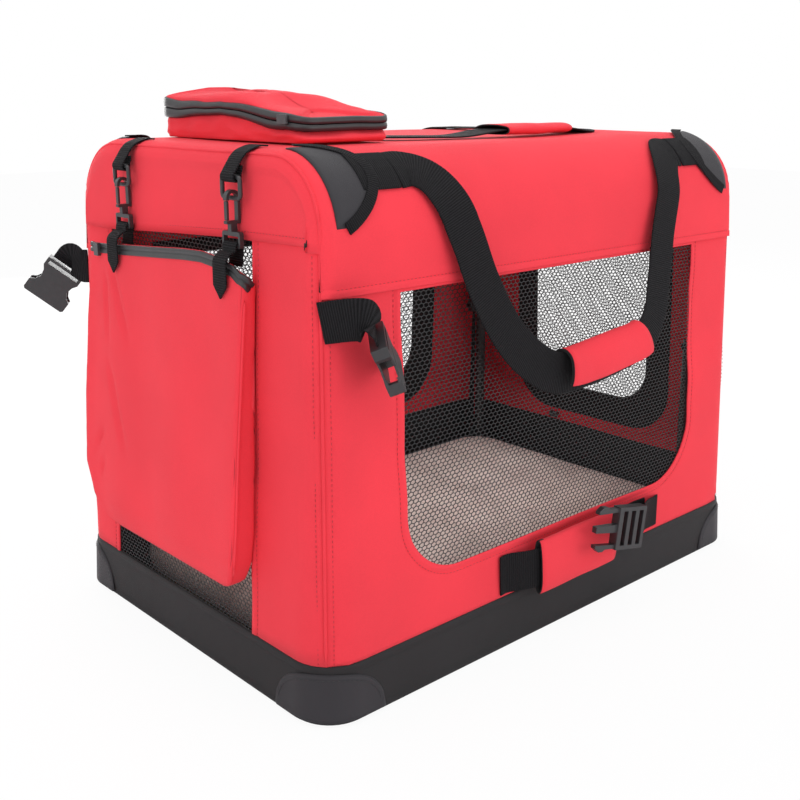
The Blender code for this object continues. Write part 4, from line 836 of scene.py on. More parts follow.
def roof_point(row, mark):
    kind, value, sx = row
    inset, hem_z = 0.0, VALANCE_Z
    if kind == "edge":
        inset = ROOF_EDGE * (1 - math.cos(value))
        hem_z = END_HEM_Z if value > math.radians(45) else VALANCE_Z
    if kind == "flap":
        inset, hem_z = ROOF_EDGE, END_HEM_Z
    y, z = section(mark, hem_z, inset)
    z_end = z
    if kind == "flap":
        z_end = z + (END_HEM_Z - z) * value
    low = 1 - smoothstep((z_end - 0.394) / 0.02)
    out = VALANCE_OUT * low
    if kind == "span":
        x = value * (half_length(z) - ROOF_EDGE)
    elif kind == "edge":
        out *= 1 - 0.7 * smoothstep((value - 0.26) / 0.5)
        x = sx * (half_length(z) - ROOF_EDGE + (ROOF_EDGE + out) * math.sin(value))
    hem_gap = z - hem_z if kind != "flap" else z_end - END_HEM_Z
    if kind == "flap":
        z_end += between(LEFT_HEM, y) * value if sx < 0 else 0.0
        x = sx * (half_length(z_end) + out)
    out += 0.0006 * (1 - smoothstep((hem_gap - 0.0052) / 0.0016))
    out -= 0.0004 * max(0.0, 1 - abs(hem_gap - 0.0064) / 0.0012)
    wave = 0.0016 * noise.noise(Vector((x * 7, y * 9, 4.2)))
    if mark[0] == "flat" and kind == "span":
        wave -= 0.0016 * (1 - (x / 0.27) ** 2) * (1 - (y / 0.126) ** 2)
    if mark[0] == "wall":
        wave *= 0.5
    if kind == "flap":
        x += sx * wave * 0.8
    elif mark[0] == "flat":
        z_end += min(0.0006, wave)
    else:
        angle = mark[1] if mark[0] == "round" else 0.0
        share = math.cos(value) if kind == "edge" else 1.0
        y += mark[2] * (out * share + wave * 0.6) * math.cos(angle)
        z_end += wave * 0.6 * math.sin(angle)
    return Vector((x, y, z_end))


def make_roof():
    run = [0.0]
    for a, b in zip(MARKS, MARKS[1:]):
        run.append(run[-1] + math.dist(section(a, VALANCE_Z, 0), section(b, VALANCE_Z, 0)))

    def place(u, v):
        row, index = ROOF_ROWS[round(u * (len(ROOF_ROWS) - 1))], round(v * (len(MARKS) - 1))
        point = roof_point(row, MARKS[index])
        along = point.x if row[0] != "flap" else math.copysign(0.28 + (HEIGHT - point.z), point.x)
        return point, (along, run[index])

    bm = bent_grid(len(ROOF_ROWS) - 1, len(MARKS) - 1, place)
    face_out(bm, INSIDE)
    obj = place_piece("roof_cloth", bm, "top_frame", [red_cloth, lining_long], ["roof_cover"])
    thickness(obj, CLOTH, 1)
    return cloth(obj, (LENGTH + 2 * (HEIGHT - END_HEM_Z), run[-1]))


roof = make_roof()
print("roof with", len(roof.data.polygons), "faces")

# %% [markdown]
# The roof's end edges are sewn seams too: a welt runs from hem to hem over the top, and stitches
# run along the hems.

# %% Roof seams
HEM_STITCH = 0.0064
HEM_THREAD_OUT = VALANCE_OUT + 0.0002
rows = []
welt_parts = []
edge_angle = math.radians(45.5)
for sx in (-1, 1):
    path = []
    for mark in MARKS:
        y, z = section(mark, END_HEM_Z, ROOF_EDGE * (1 - math.cos(edge_angle)))
        point = Vector((sx * (half_length(z) - ROOF_EDGE + ROOF_EDGE * math.sin(edge_angle)), y, z))
        if not path or (point - path[-1]).length > 0.0005:
            path.append(point)
    welt_parts.append(tube(path, 0.0013))
place_piece("roof_welts", merge(welt_parts), "top_frame", [red_cloth])
for sy in (-1, 1):
    z = VALANCE_Z + HEM_STITCH
    reach = half_length(z) - ROOF_EDGE
    y = sy * (half_width(z) + HEM_THREAD_OUT)
    path = [Vector((reach * (k / 60 * 2 - 1), y, z)) for k in range(61)]
    rows.append((path, [Vector((0, sy, 0.04))] * 61))
for sx in (-1, 1):
    z = END_HEM_Z + HEM_STITCH
    reach = half_width(z) - ROOF_EDGE
    marks = [reach * (k / 40 * 2 - 1) for k in range(41)]
    x = sx * (half_length(z) + HEM_THREAD_OUT)
    path = [Vector((x, y, z + (between(LEFT_HEM, y) if sx < 0 else 0.0))) for y in marks]
    rows.append((path, [Vector((sx, 0, 0.04))] * 41))
roof_stitches = stitches("roof_stitches", rows, "top_frame", red_thread)
print("roof seams with", len(roof_stitches.data.polygons) // 20, "stitches")

# %% [markdown]
# The base is a stiff tray wrapped in coated black cloth: a band outside, a rounded lower edge and
# a folded upper one. One profile goes round the rounded plan, and two faces close the floor.

# %% Base band


def plan_points(step=0.009):
    """Rows of corner sign x, corner sign y, angle and share of the straight, once round the tray."""
    points = []
    for quadrant in range(4):
        sx, sy = CORNERS[quadrant]
        for k in range(13):
            angle = math.pi / 2 * (quadrant + k / 12)
            points.append((sx, sy, angle, 0.0))
        next_sx = CORNERS[(quadrant + 1) % 4][0]
        straight = LENGTH - 2 * CORNER_LOW if sx != next_sx else WIDTH - 2 * CORNER_LOW
        pieces = round(straight / step)
        for k in range(1, pieces):
            points.append((sx, sy, math.pi / 2 * (quadrant + 1), k / pieces))
    return points + [points[0]]


PLAN = plan_points()


def plan_point(entry, out, z):
    """A point round the tray, standing out from its side by out."""
    sx, sy, angle, share = entry
    hx, hy = half_length(z) - CORNER_LOW, half_width(z) - CORNER_LOW
    radius = max(CORNER_LOW + out, 0.001)
    point = Vector((sx * hx + radius * math.cos(angle), sy * hy + radius * math.sin(angle), z))
    if share:
        turn = Vector((-math.sin(angle), math.cos(angle), 0))
        span = 2 * (hx if abs(turn.x) > 0.5 else hy)
        point += turn * span * share
    return point


BAND_PROFILE = [(-0.0040, 0.0), (-0.0022, 0.0001), (-0.0010, 0.0010), (-0.0002, 0.0026), (0.0003, 0.0048),
                (0.0000, 0.0072), (0.0005, 0.012), (0.0009, 0.020), (0.0010, 0.028), (0.0007, 0.036),
                (0.0004, 0.042), (-0.0001, 0.0445), (0.0006, 0.0462), (0.0008, 0.0495), (0.0003, 0.0516),
                (-0.0010, 0.0522), (-0.0026, 0.0518), (-0.0034, 0.0500), (-0.0036, 0.044), (-0.0036, 0.024),
                (-0.0038, 0.0075), (-0.0060, 0.0052)]


def make_band():
    last = len(PLAN) - 1
    run = [0.0]
    for a, b in zip(PLAN, PLAN[1:]):
        run.append(run[-1] + (plan_point(b, 0, 0) - plan_point(a, 0, 0)).length)

    def place(u, v):
        k, row = round(u * last), round(v * (len(BAND_PROFILE) - 1))
        out, z = BAND_PROFILE[row]
        soft = 0.0007 * noise.noise(plan_point(PLAN[k], 0, z) * 11) if 0.005 < z < 0.046 and row < 14 else 0.0
        return plan_point(PLAN[k], out + soft, z), (run[k], z + row * 0.001)

    bm = close_skin(bent_grid(last, len(BAND_PROFILE) - 1, place))
    return place_piece("base_band", bm, "base", [band_cloth], ["base_tray"])


band = make_band()
print("band with", len(band.data.polygons), "faces")

# %% [markdown]
# Each lower corner has an arch of smooth black cloth sewn on against wear, with a stitched edge.

# %% Base corner patches
ARCH_HALF = 0.0568
ARCH_HEIGHT = 0.046
ARCH_LOW = 0.0035


def band_corner_point(sx, sy, s, z, out):
    """A point at a tray corner: s runs from the corner's middle, round it and on along the side."""
    quarter = CORNER_LOW * math.pi / 4
    round_part = max(-quarter, min(quarter, s))
    angle = math.atan2(sy, sx) + round_part / CORNER_LOW
    hx, hy = half_length(z) - CORNER_LOW, half_width(z) - CORNER_LOW
    reach = CORNER_LOW + out
    point = Vector((sx * hx + reach * math.cos(angle), sy * hy + reach * math.sin(angle), z))
    return point + Vector((-math.sin(angle), math.cos(angle), 0)) * (s - round_part)


def arch_top(s, inset=0.0):
    share = min(1.0, abs(s) / (ARCH_HALF - inset))
    return ARCH_LOW + (ARCH_HEIGHT - inset - ARCH_LOW) * (1 - share ** 2.4) ** 0.5


def make_arches():
    parts = []
    rows = []
    for sx in (-1, 1):
        for sy in (-1, 1):
            def place(u, v):
                s = (u * 2 - 1) * ARCH_HALF * 0.999
                top = arch_top(s)
                z = ARCH_LOW + (top - ARCH_LOW) * v
                edge = min((top - z) / 0.004, (ARCH_HALF - abs(s)) / 0.004, 1.0)
                return band_corner_point(sx, sy, s, z, 0.0010 + 0.0011 * smoothstep(edge * 2)), (s, z)

            part = bent_grid(40, 12, place)
            face_out(part, Vector((sx * 0.2, sy * 0.12, 0.02)))
            parts.append(part)
            points = [band_corner_point(sx, sy, s, arch_top(s, 0.0045), 0.0024)
                      for s in (ARCH_HALF * 0.9 * (k / 40 * 2 - 1) for k in range(41))]
            centre = Vector((sx * 0.262, sy * 0.167, 0))
            rows.append((points, [Vector((p.x - centre.x, p.y - centre.y, 0)).normalized() for p in points]))
    patches = place_piece("base_corner_patches", merge(parts), "base", [patch_cloth])
    patches = thickness(patches, 0.0014)
    stitched = stitches("base_corner_stitches", rows, "base", black_thread)
    return patches, stitched


make_arches()
print("base corner patches ready")

# %% [markdown]
# The net is knitted, with six-sided holes. Each net starts as a grid whose cells are joined in
# pairs like bricks. The cells are inset and their middles removed, so that only the yarn is left.
# The corners that fall outside the window are drawn in to its edge.

# %% Net helper
NET_PITCH = 0.0056
NET_ROW = 0.0034
YARN = 0.00080
NET_OUT = -0.0012
BRICK_RISE = 0.17


def within(point, outline):
    x, z = point
    found = False
    for (ax, az), (bx, bz) in zip(outline, outline[1:]):
        if (az > z) != (bz > z) and x < ax + (z - az) / (bz - az) * (bx - ax):
            found = not found
    return found


def to_edge(point, outline):
    """The nearest point of an outline."""
    here = Vector(point)
    best = None
    for a, b in zip(outline, outline[1:]):
        start, way = Vector(a), Vector(b) - Vector(a)
        share = min(1.0, max(0.0, (here - start).dot(way) / max(way.length_squared, 1e-12)))
        spot = start + way * share
        if best is None or (spot - here).length_squared < best[0]:
            best = ((spot - here).length_squared, spot)
    return best[1]


def make_net(name, side, outline, body, replaced, sag=0.0):
    low_s, high_s = min(p[0] for p in outline), max(p[0] for p in outline)
    low_z, high_z = min(p[1] for p in outline), max(p[1] for p in outline)
    columns = 2 * round((high_s - low_s) / NET_PITCH)
    rows = round((high_z - low_z) / NET_ROW)
    bm = bmesh.new()
    bmesh.ops.create_grid(bm, x_segments=columns, y_segments=rows, size=0.5)
    place = {}
    for vert in bm.verts:
        i, j = round((vert.co.x + 0.5) * columns), round((vert.co.y + 0.5) * rows)
        place[vert] = (i, j)
        rise = BRICK_RISE if (i + j) % 2 == 0 else -BRICK_RISE
        vert.co = (low_s + (high_s - low_s) * i / columns,
                   low_z + (high_z - low_z) * min(rows, max(0, j + rise)) / rows, 0)
    middles = [edge for edge in bm.edges if len(edge.link_faces) == 2
               and place[edge.verts[0]][0] == place[edge.verts[1]][0]
               and (place[edge.verts[0]][0] + min(place[v][1] for v in edge.verts)) % 2]
    bmesh.ops.dissolve_edges(bm, edges=middles)
    inner = {vert: within(vert.co.xy, outline) for vert in bm.verts}
    bmesh.ops.delete(bm, geom=[f for f in bm.faces if not any(inner[v] for v in f.verts)], context="FACES")
    for vert in bm.verts:
        if not inner[vert]:
            vert.co.xy = to_edge(vert.co.xy, outline)
    cells = list(bm.faces)
    bmesh.ops.inset_individual(bm, faces=cells, thickness=YARN / 2, use_even_offset=False)
    bmesh.ops.delete(bm, geom=cells, context="FACES_ONLY")
    mid = Vector(((low_s + high_s) / 2, (low_z + high_z) / 2))
    half = Vector(((high_s - low_s) / 2, (high_z - low_z) / 2))
    for vert in bm.verts:
        s, z = vert.co.xy
        dip = sag * max(0.0, 1 - ((s - mid.x) / half.x) ** 2) * max(0.0, 1 - ((z - mid.y) / half.y) ** 2)
        vert.co = wall_point(side, s, z, NET_OUT - dip)
    face_out(bm, INSIDE)
    obj = place_piece(name, bm, body, [net_yarn], replaced, smooth=False)
    thickness(obj, 0.0004)
    squash_wall(obj)
    return cloth(obj, (high_s - low_s, high_z - low_z))


nets = [make_net("front_net", "front", window_outline("front", 0.0010), "front_door", ["front_door"], 0.003)]
print("front net:", len(nets[0].data.polygons), "faces")

# %% [markdown]
# The back and right doors have a wide black border inside their opening, and the net only fills
# the middle. The left end's net is fixed.

# %% Borders and the other nets
BORDERS = {"back": (0.036, 0.034, 0.014), "right": (0.030, 0.034, 0.014)}


def matched_outline(half, low, top, corner):
    """A closed outline with a fixed number of points, so that two of them can be joined."""
    points = []

    def line(a, b, pieces):
        for k in range(pieces):
            points.append((a[0] + (b[0] - a[0]) * k / pieces, a[1] + (b[1] - a[1]) * k / pieces))

    line((half, top), (-half, top), 36)
    line((-half, top), (-half, low + corner), 18)
    points.extend(arc(-half + corner, low + corner, corner, math.pi, 1.5 * math.pi, 14)[:-1])
    line((-half + corner, low), (half - corner, low), 26)
    points.extend(arc(half - corner, low + corner, corner, 1.5 * math.pi, 2 * math.pi, 14)[:-1])
    line((half, low + corner), (half, top), 18)
    return points + [points[0]]


def door_outlines(side, gap=0.0006):
    half, corner = WINDOWS[side]
    wide, low, high = BORDERS[side]
    outer = matched_outline(half - gap, WINDOW_BOTTOM + gap, WINDOW_TOP - gap, corner)
    inner = matched_outline(half - wide, WINDOW_BOTTOM + low, WINDOW_TOP - high, corner * 0.75)
    return outer, inner


def make_border(side):
    outer, inner = door_outlines(side, -0.0020)
    levels = ((0.0, 0.0), (0.02, 0.0006), (0.5, 0.0008), (0.96, 0.0006), (1.0, 0.0))
    last = len(outer) - 1

    def place(u, v):
        k = round(u * last)
        share, rise = levels[round(v * (len(levels) - 1))]
        s = outer[k][0] + (inner[k][0] - outer[k][0]) * share
        z = outer[k][1] + (inner[k][1] - outer[k][1]) * share
        return wall_point(side, s, z, NET_OUT + rise), (s, z)

    bm = bent_grid(last, len(levels) - 1, place)
    face_out(bm, INSIDE)
    obj = place_piece(side + "_border", bm, side + "_door", [tape_cloth])
    thickness(obj, 0.0024)
    squash_wall(obj)
    return cloth(obj, (2 * WINDOWS[side][0], WINDOW_TOP - WINDOW_BOTTOM))


for side in ("back", "right"):
    make_border(side)
    nets.append(make_net(side + "_net", side, door_outlines(side)[1], side + "_door", [side + "_door"]))
nets.append(make_net("left_net", "left", left_outline(), "base", ["left_mesh"]))
print("nets:", [len(n.data.polygons) for n in nets])

# %% [markdown]
# Straps are closed ribbons with rounded edges. Each follows a path with a normal at every point.
# A bow bends the cross-section, for straps that lie round the shoulder of the roof.

# %% Strap helper
WEBBING = 0.0017
STRAP_GAP = 0.0010
SHOULDER_BOW = 0.0029


def strap_mesh(path, normals, width, thick=WEBBING, bows=None, point_tip=0.0):
    run = lengths(path)
    shape = [(-0.5, 0.0), (-0.488, 0.38), (-0.45, 0.5), (-0.25, 0.5), (0.0, 0.5), (0.25, 0.5),
             (0.45, 0.5), (0.488, 0.38), (0.5, 0.0), (0.488, -0.38), (0.45, -0.5), (0.25, -0.5),
             (0.0, -0.5), (-0.25, -0.5), (-0.45, -0.5), (-0.488, -0.38), (-0.5, 0.0)]
    last = len(path) - 1

    def place(u, v):
        k = round(v * last)
        a, n = shape[round(u * (len(shape) - 1))]
        across, normal = ribbon_axes(path, normals, k)
        left = run[-1] - run[k]
        narrow = 1.0 if left >= point_tip else max(0.02, left / point_tip)
        bow = (bows[k] if bows else 0.0) * (2 * a) ** 2
        return path[k] + across * a * width * narrow + normal * (n * thick - bow), (a * width, run[k])

    return close_skin(bent_grid(len(shape) - 1, last, place), len(shape) + 1)


def strap(name, path, normals, width, body, replaced=(), thick=WEBBING, bows=None, point_tip=0.0):
    bm = strap_mesh(path, normals, width, thick, bows, point_tip)
    return place_piece(name, bm, body, [webbing], replaced)


def shoulder_point(x, angle, sy, out=0.0):
    z = SHOULDER_Z + (SHOULDER + out) * math.sin(angle)
    y = half_width(SHOULDER_Z + SHOULDER * math.sin(angle)) - SHOULDER + (SHOULDER + out) * math.cos(angle)
    return Vector((x, sy * y, z))


def body_surface(x, sy, z, out):
    """A point over the front or back, and its normal, round the shoulder too."""
    if z <= SHOULDER_Z:
        return Vector((x, sy * (half_width(z) + out), z)), Vector((0, sy, LEAN / HEIGHT))
    angle = math.asin(min(1.0, (z - SHOULDER_Z) / SHOULDER))
    return shoulder_point(x, angle, sy, out), Vector((0, sy * math.cos(angle), math.sin(angle)))


def roof_surface(x, y, out):
    flat = half_width(HEIGHT) - SHOULDER
    if abs(y) <= flat:
        return Vector((x, y, HEIGHT + out)), Vector((0, 0, 1))
    angle = math.acos(min(1.0, (abs(y) - flat) / SHOULDER))
    sy = math.copysign(1, y)
    return shoulder_point(x, angle, sy, out), Vector((0, sy * math.cos(angle), math.sin(angle)))


print("strap helpers ready")

# %% [markdown]
# Every roof corner has a leaf of smooth black cloth. Its inner edge is bound with a curved strip
# of webbing, and a wide webbing band runs from it along the shoulder to the carry strap.

# %% Roof corner patches
BAND_ANGLE = math.radians(46)
HANDLE_WIDTH = 0.038
CAP_WIDTH = 0.046
OUTER_X = half_length(HEIGHT) - ROOF_EDGE
BAND_INNER_X = 0.196
BINDING = 0.010


LEAF_START = 0.03
LEAF_SPAN = 0.95
LEAF_SHARES = [LEAF_START + LEAF_SPAN * k / 28 for k in range(29)]


def leaf_width(share):
    return 0.004 + CAP_WIDTH * math.sin(math.pi * share) ** 0.7


def make_corner(sx, sy, name):
    def place(u, v):
        share = LEAF_START + LEAF_SPAN * u
        wide = leaf_width(share)
        rise = 0.0013 * min(1.0, 8 * v, 8 * (1 - v), 14 * u, 14 * (1 - u)) + 0.0004
        angle = math.pi / 2 * share
        x = OUTER_X - wide * v
        return shoulder_point(sx * x, angle, sy, rise + 0.0004), (x, angle * SHOULDER)

    bm = bent_grid(28, 12, place)
    face_out(bm, Vector((0, 0, 0.3)))
    leaf = place_piece(name + "_leaf", bm, "top_frame", [patch_cloth], [name])
    thickness(leaf, 0.0016)

    def beside_edge(share, inwards, out):
        """A point near the leaf's inner edge, moved by a share of the binding's width."""
        x = sx * (OUTER_X - leaf_width(share) + BINDING * inwards)
        return shoulder_point(x, math.pi / 2 * share, sy, out)

    path = [beside_edge(share, 0.35, 0.0027) for share in LEAF_SHARES]
    angles = [math.pi / 2 * share for share in LEAF_SHARES]
    normals = [Vector((0, sy * math.cos(angle), math.sin(angle))) for angle in angles]
    parts = [strap_mesh(path, normals, BINDING, 0.0013)]
    start, end = OUTER_X - 0.72 * CAP_WIDTH, BAND_INNER_X - 0.001
    out = STRAP_GAP + WEBBING / 2 + 0.0004
    band_path = [shoulder_point(sx * (start + (end - start) * k / 12), BAND_ANGLE, sy, out)
                 for k in range(13)]
    normal = Vector((0, sy * math.cos(BAND_ANGLE), math.sin(BAND_ANGLE)))
    parts.append(strap_mesh(band_path, [normal] * 13, HANDLE_WIDTH, WEBBING, [SHOULDER_BOW] * 13))
    place_piece(name + "_webbing", merge(parts), "top_frame", [webbing])
    return [beside_edge(share, 1.15, 0.0019) for share in LEAF_SHARES[3:26]], normals[3:26]


rows = [make_corner(sx, sy, "roof_corner_%s_%s" % (face, end))
        for face, sy in (("front", -1), ("back", 1)) for end, sx in (("left", -1), ("right", 1))]
stitches("roof_corner_stitches", rows, "top_frame", black_thread, 0.0034)
print("roof corner patches:", len(rows))

# %% [markdown]
# The carry straps are one length of webbing each. The front one hangs in an arch over the door,
# the back one lies folded forward on the roof. A padded red sleeve wraps the middle of each.

# %% Carry straps
FRONT_DROP = 0.186
FRONT_STANDOFF = 0.021
BAND_TO_STRAP = 0.0022
LIE = STRAP_GAP + WEBBING / 2
STEPS = 8


def eased_bows(path, sagitta=SHOULDER_BOW, reach=0.045):
    """The bow of a strap that is bent round the shoulder at both ends and flat between them."""
    run = lengths(path)
    return [sagitta * (1 - smoothstep(min(d, run[-1] - d) / reach)) for d in run]


seat_z = shoulder_point(0, BAND_ANGLE, -1).z
end = BAND_INNER_X - BAND_TO_STRAP
lead = 0.908 * BAND_INNER_X
shares = [(-0.827, 0.045, 0.143), (-0.760, 0.153, 0.286), (-0.694, 0.320, 0.476), (-0.622, 0.529, 0.667),
          (-0.500, 0.755, 0.857), (-0.337, 0.916, 0.952), (-0.153, 1.0, 1.0), (0.184, 0.981, 1.0),
          (0.449, 0.938, 1.0), (0.582, 0.820, 0.905), (0.648, 0.615, 0.714), (0.704, 0.400, 0.524),
          (0.765, 0.218, 0.381), (0.819, 0.078, 0.190)]
front_route = ([(-end, seat_z, LIE), (-lead, seat_z, LIE)]
               + [(x * BAND_INNER_X, seat_z - drop * FRONT_DROP, out * FRONT_STANDOFF)
                  for x, drop, out in shares]
               + [(lead, seat_z, LIE), (end, seat_z, LIE)])
front_placed = [body_surface(x, -1, z, out) for x, z, out in spline(front_route, STEPS)]
front_path = [point for point, normal in front_placed]
front_normals = [normal for point, normal in front_placed]
front_webbing = strap("front_handle_webbing", front_path, front_normals, HANDLE_WIDTH, "front_handle",
                      ["front_handle_strap"], bows=eased_bows(front_path))

seat_y = shoulder_point(0, BAND_ANGLE, 1).y
lead = 0.903 * BAND_INNER_X
PAD = 0.0065
shares = [(-0.765, 0.8925, LIE), (-0.617, 0.8575, LIE), (-0.526, 0.785, LIE), (-0.490, 0.656, LIE),
          (-0.482, 0.323, LIE), (-0.480, 0.0, LIE), (-0.449, -0.188, LIE), (-0.306, -0.323, LIE),
          (-0.102, -0.366, LIE), (0.153, -0.366, PAD), (0.408, -0.355, PAD), (0.663, -0.344, PAD),
          (0.878, -0.312, LIE), (1.010, -0.204, LIE), (1.046, -0.027, LIE), (0.995, 0.188, LIE),
          (0.893, 0.403, LIE), (0.816, 0.618, LIE), (0.796, 0.769, LIE), (0.827, 0.860, LIE)]
back_route = ([(-end, seat_y, LIE), (-lead, seat_y, LIE)]
              + [(x * BAND_INNER_X, y * half_width(HEIGHT), out) for x, y, out in shares]
              + [(lead, seat_y, LIE), (end, seat_y, LIE)])
back_placed = [roof_surface(x, y, out) for x, y, out in spline(back_route, STEPS)]
back_path = [point for point, normal in back_placed]
back_normals = [normal for point, normal in back_placed]
strap("back_handle_webbing", back_path, back_normals, HANDLE_WIDTH, "back_handle", ["back_handle_strap"],
      bows=eased_bows(back_path))
print("carry straps:", round(lengths(front_path)[-1], 3), "and", round(lengths(back_path)[-1], 3), "m")

# %% [markdown]
# The front sleeve is folded over its strap from above and stays open below. The other sleeves are
# flat padded tubes, open at both ends, red outside and black inside. Their skin goes out along the
# tube, turns in a bound edge and comes back inside.

# %% Sleeves


WRAP = ((0.0120, -0.0100), (0.0135, -0.0040), (0.0130, 0.0060), (0.0095, 0.0150), (0.0020, 0.0205),
        (-0.0060, 0.0190), (-0.0105, 0.0120), (-0.0115, 0.0), (-0.0105, -0.0120), (-0.0080, -0.0220))


def wrap_sleeve(name, path, normals, body, replaced):
    """A padded grip that is folded over the strap from above and open along its lower edge."""
    profile = flat_spline(WRAP, 4)
    last = len(path) - 1
    run = lengths(path)

    def place(u, v):
        k = round(u * last)
        out, up = profile[round(v * (len(profile) - 1))]
        across = ribbon_axes(path, normals, k)[0]
        if across.z < 0:
            across = -across
        soft = 0.0012 * noise.noise(Vector((run[k] * 40, v * 3, 5.5)))
        swell = 1 + 0.08 * math.sin(math.pi * run[k] / run[-1])
        return path[k] + across * up * swell + Vector(normals[k]) * (out + soft), (run[k], v * 0.08)

    bm = bent_grid(last, len(profile) - 1, place)
    middle = sum(path, Vector()) / len(path)
    face_out(bm, middle + Vector((0, 0, -0.004)))
    obj = place_piece(name, bm, body, [red_cloth, tape_cloth], replaced)
    shell = obj.modifiers.new("thickness", "SOLIDIFY")
    shell.thickness = 0.0030
    shell.offset = 0.0
    shell.material_offset = 1
    shell.material_offset_rim = 1
    return obj


def sleeve(name, path, normals, body, replaced, half_wide=0.023, half_deep=0.0055, wall=0.0015):
    last = len(path) - 1
    run = lengths(path)
    sides = 40
    levels = ([(k, 0.0) for k in range(last + 1)] + [(last, wall)]
              + [(k, wall) for k in range(last, -1, -1)] + [(0, 0.0)])

    def place(u, v):
        k, inset = levels[round(v * (len(levels) - 1))]
        angle = 2 * math.pi * u
        across, normal = ribbon_axes(path, normals, k)
        share = run[k] / run[-1]
        swell = 1 + 0.10 * math.sin(math.pi * share) ** 0.6
        dents = 0.0013 * noise.noise(Vector((run[k] * 34, angle * 0.8, half_wide * 400)))
        deep = (half_deep * swell + dents) - inset
        wide = half_wide - inset
        ca = math.copysign(abs(math.cos(angle)) ** 0.7, math.cos(angle))
        sa = math.copysign(abs(math.sin(angle)) ** 0.8, math.sin(angle))
        return path[k] + across * wide * ca + normal * deep * sa, (angle * 0.012, run[k] + inset)

    bm = bent_grid(sides, len(levels) - 1, place)
    bmesh.ops.recalc_face_normals(bm, faces=bm.faces)
    for face in bm.faces:
        middle = face.calc_center_median()
        nearest = min(range(last + 1), key=lambda k: (path[k] - middle).length_squared)
        outwards = (middle - path[nearest]).dot(face.normal) > 0
        edge = min(run[nearest], run[-1] - run[nearest]) < 0.0045
        face.material_index = 0 if outwards and not edge else 1
    obj = place_piece(name, bm, body, [red_cloth, tape_cloth], replaced)
    return obj


first, last = 8 * STEPS, 10 * STEPS + 1
front_grip = wrap_sleeve("front_sleeve", front_path[first:last], front_normals[first:last], "front_handle",
                         ["front_handle_sleeve"])
first, last = 11 * STEPS, 13 * STEPS + 1
sleeve("back_sleeve", back_path[first:last], back_normals[first:last], "back_handle", ["back_handle_sleeve"],
       half_deep=0.0050)
for piece in (front_webbing, front_grip):
    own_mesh(piece)
print("sleeves ready")

# %% [markdown]
# The low handle on the front is sewn to the top of the base band. It has its own sleeve, and the
# male half of the buckle hangs on a tab at its right end.

# %% Base handle
BASE_Z = BAND + 0.022
BASE_X = (-0.093, 0.128)
BASE_SLEEVE_X = (-0.052, 0.060)
surface = -half_width(BASE_Z)
near = surface - STRAP_GAP - WEBBING / 2
far = surface - STRAP_GAP - 0.011
WALL_NORMAL = Vector((0, -1, LEAN / HEIGHT))
x0, x1 = BASE_X
s0, s1 = BASE_SLEEVE_X
route = [(x0, near, BASE_Z), (x0 + 0.012, near, BASE_Z), (s0, far, BASE_Z), ((s0 + s1) / 2, far, BASE_Z),
         (s1, far, BASE_Z), (x1 - 0.028, near, BASE_Z), (x1, near, BASE_Z)]
base_path = spline(route, 8)
strap("base_handle_webbing", base_path, [WALL_NORMAL] * len(base_path), HANDLE_WIDTH, "base_handle",
      ["base_handle_strap"])
sleeve("base_sleeve", base_path[16:33], [WALL_NORMAL] * 17, "base_handle", ["base_handle_sleeve"], 0.0265)
male_origin = Vector((0.0655, surface - 0.0410, 0.0918))
tab_x = BASE_X[1] + 0.004
route = [Vector((tab_x + 0.018, near, BASE_Z)), Vector((tab_x + 0.007, surface - 0.0042, BASE_Z + 0.001)),
         Vector((tab_x - 0.014, surface - 0.0120, BASE_Z + 0.006)),
         Vector((tab_x - 0.040, surface - 0.0260, BASE_Z + 0.013)),
         Vector((male_origin.x + 0.009, male_origin.y + 0.0035, male_origin.z - 0.0014)),
         Vector((male_origin.x + 0.0012, male_origin.y, male_origin.z))]
tab_path = spline(route, 6)
BUCKLE_WEBBING = 0.033
strap("male_buckle_webbing", tab_path, [WALL_NORMAL] * len(tab_path), BUCKLE_WEBBING, "base_handle",
      ["male_buckle_tab"])
print("base handle ready")

# %% [markdown]
# The female buckles hang on short straps that come out of the two left corner seams and twist a
# little on their way.

# %% Buckle straps


def buckle_frame(origin, long_dir, face_dir):
    y_axis = Vector(long_dir).normalized()
    z_axis = Vector(face_dir).normalized()
    x_axis = y_axis.cross(z_axis).normalized()
    z_axis = x_axis.cross(y_axis).normalized()
    matrix = Matrix((x_axis, y_axis, z_axis)).transposed().to_4x4()
    matrix.translation = origin
    return matrix


def buckle_strap(name, sy, offset, long_dir, face_dir, through, seam_face, body, replaced):
    seam = corner_point(-1, sy, 0.334, 0.0012)
    place = buckle_frame(seam + Vector(offset), long_dir, face_dir)
    length_dir = place.to_3x3() @ Vector((0, 1, 0))
    face = place.to_3x3() @ Vector((0, 0, 1))
    bar = place.translation - length_dir * 0.0012
    path = spline([seam, *[seam + Vector(step) for step in through], bar - length_dir * 0.006, bar], 7)
    start = Vector(seam_face).normalized()
    last = len(path) - 1
    facing = [start.lerp(face, min(1.0, max(0.0, 1.9 * (k / last - 0.25)))) for k in range(last + 1)]
    return strap(name, path, facing, BUCKLE_WEBBING, body, [replaced])


buckle_strap("front_buckle_webbing", -1, (0.0285, -0.0306, -0.0090), (0.47, 0.0, -0.88), (0.74, -0.67, 0.30),
             ((0.0140, -0.0234, 0.0045), (0.0230, -0.0284, 0.0020)), (-0.60, -0.80, 0.0),
             "front_buckle_strap", "front_buckle_stub")
buckle_strap("back_buckle_webbing", 1, (-0.0070, 0.0337, -0.0040), (-0.465, 0.425, -0.78),
             (-0.41, -0.90, 0.16), ((-0.0034, 0.0094, 0.0), (-0.0054, 0.0219, 0.0050)), (-1.0, -0.2, 0.0),
             "back_buckle_strap", "back_buckle_stub")
print("buckle straps ready")

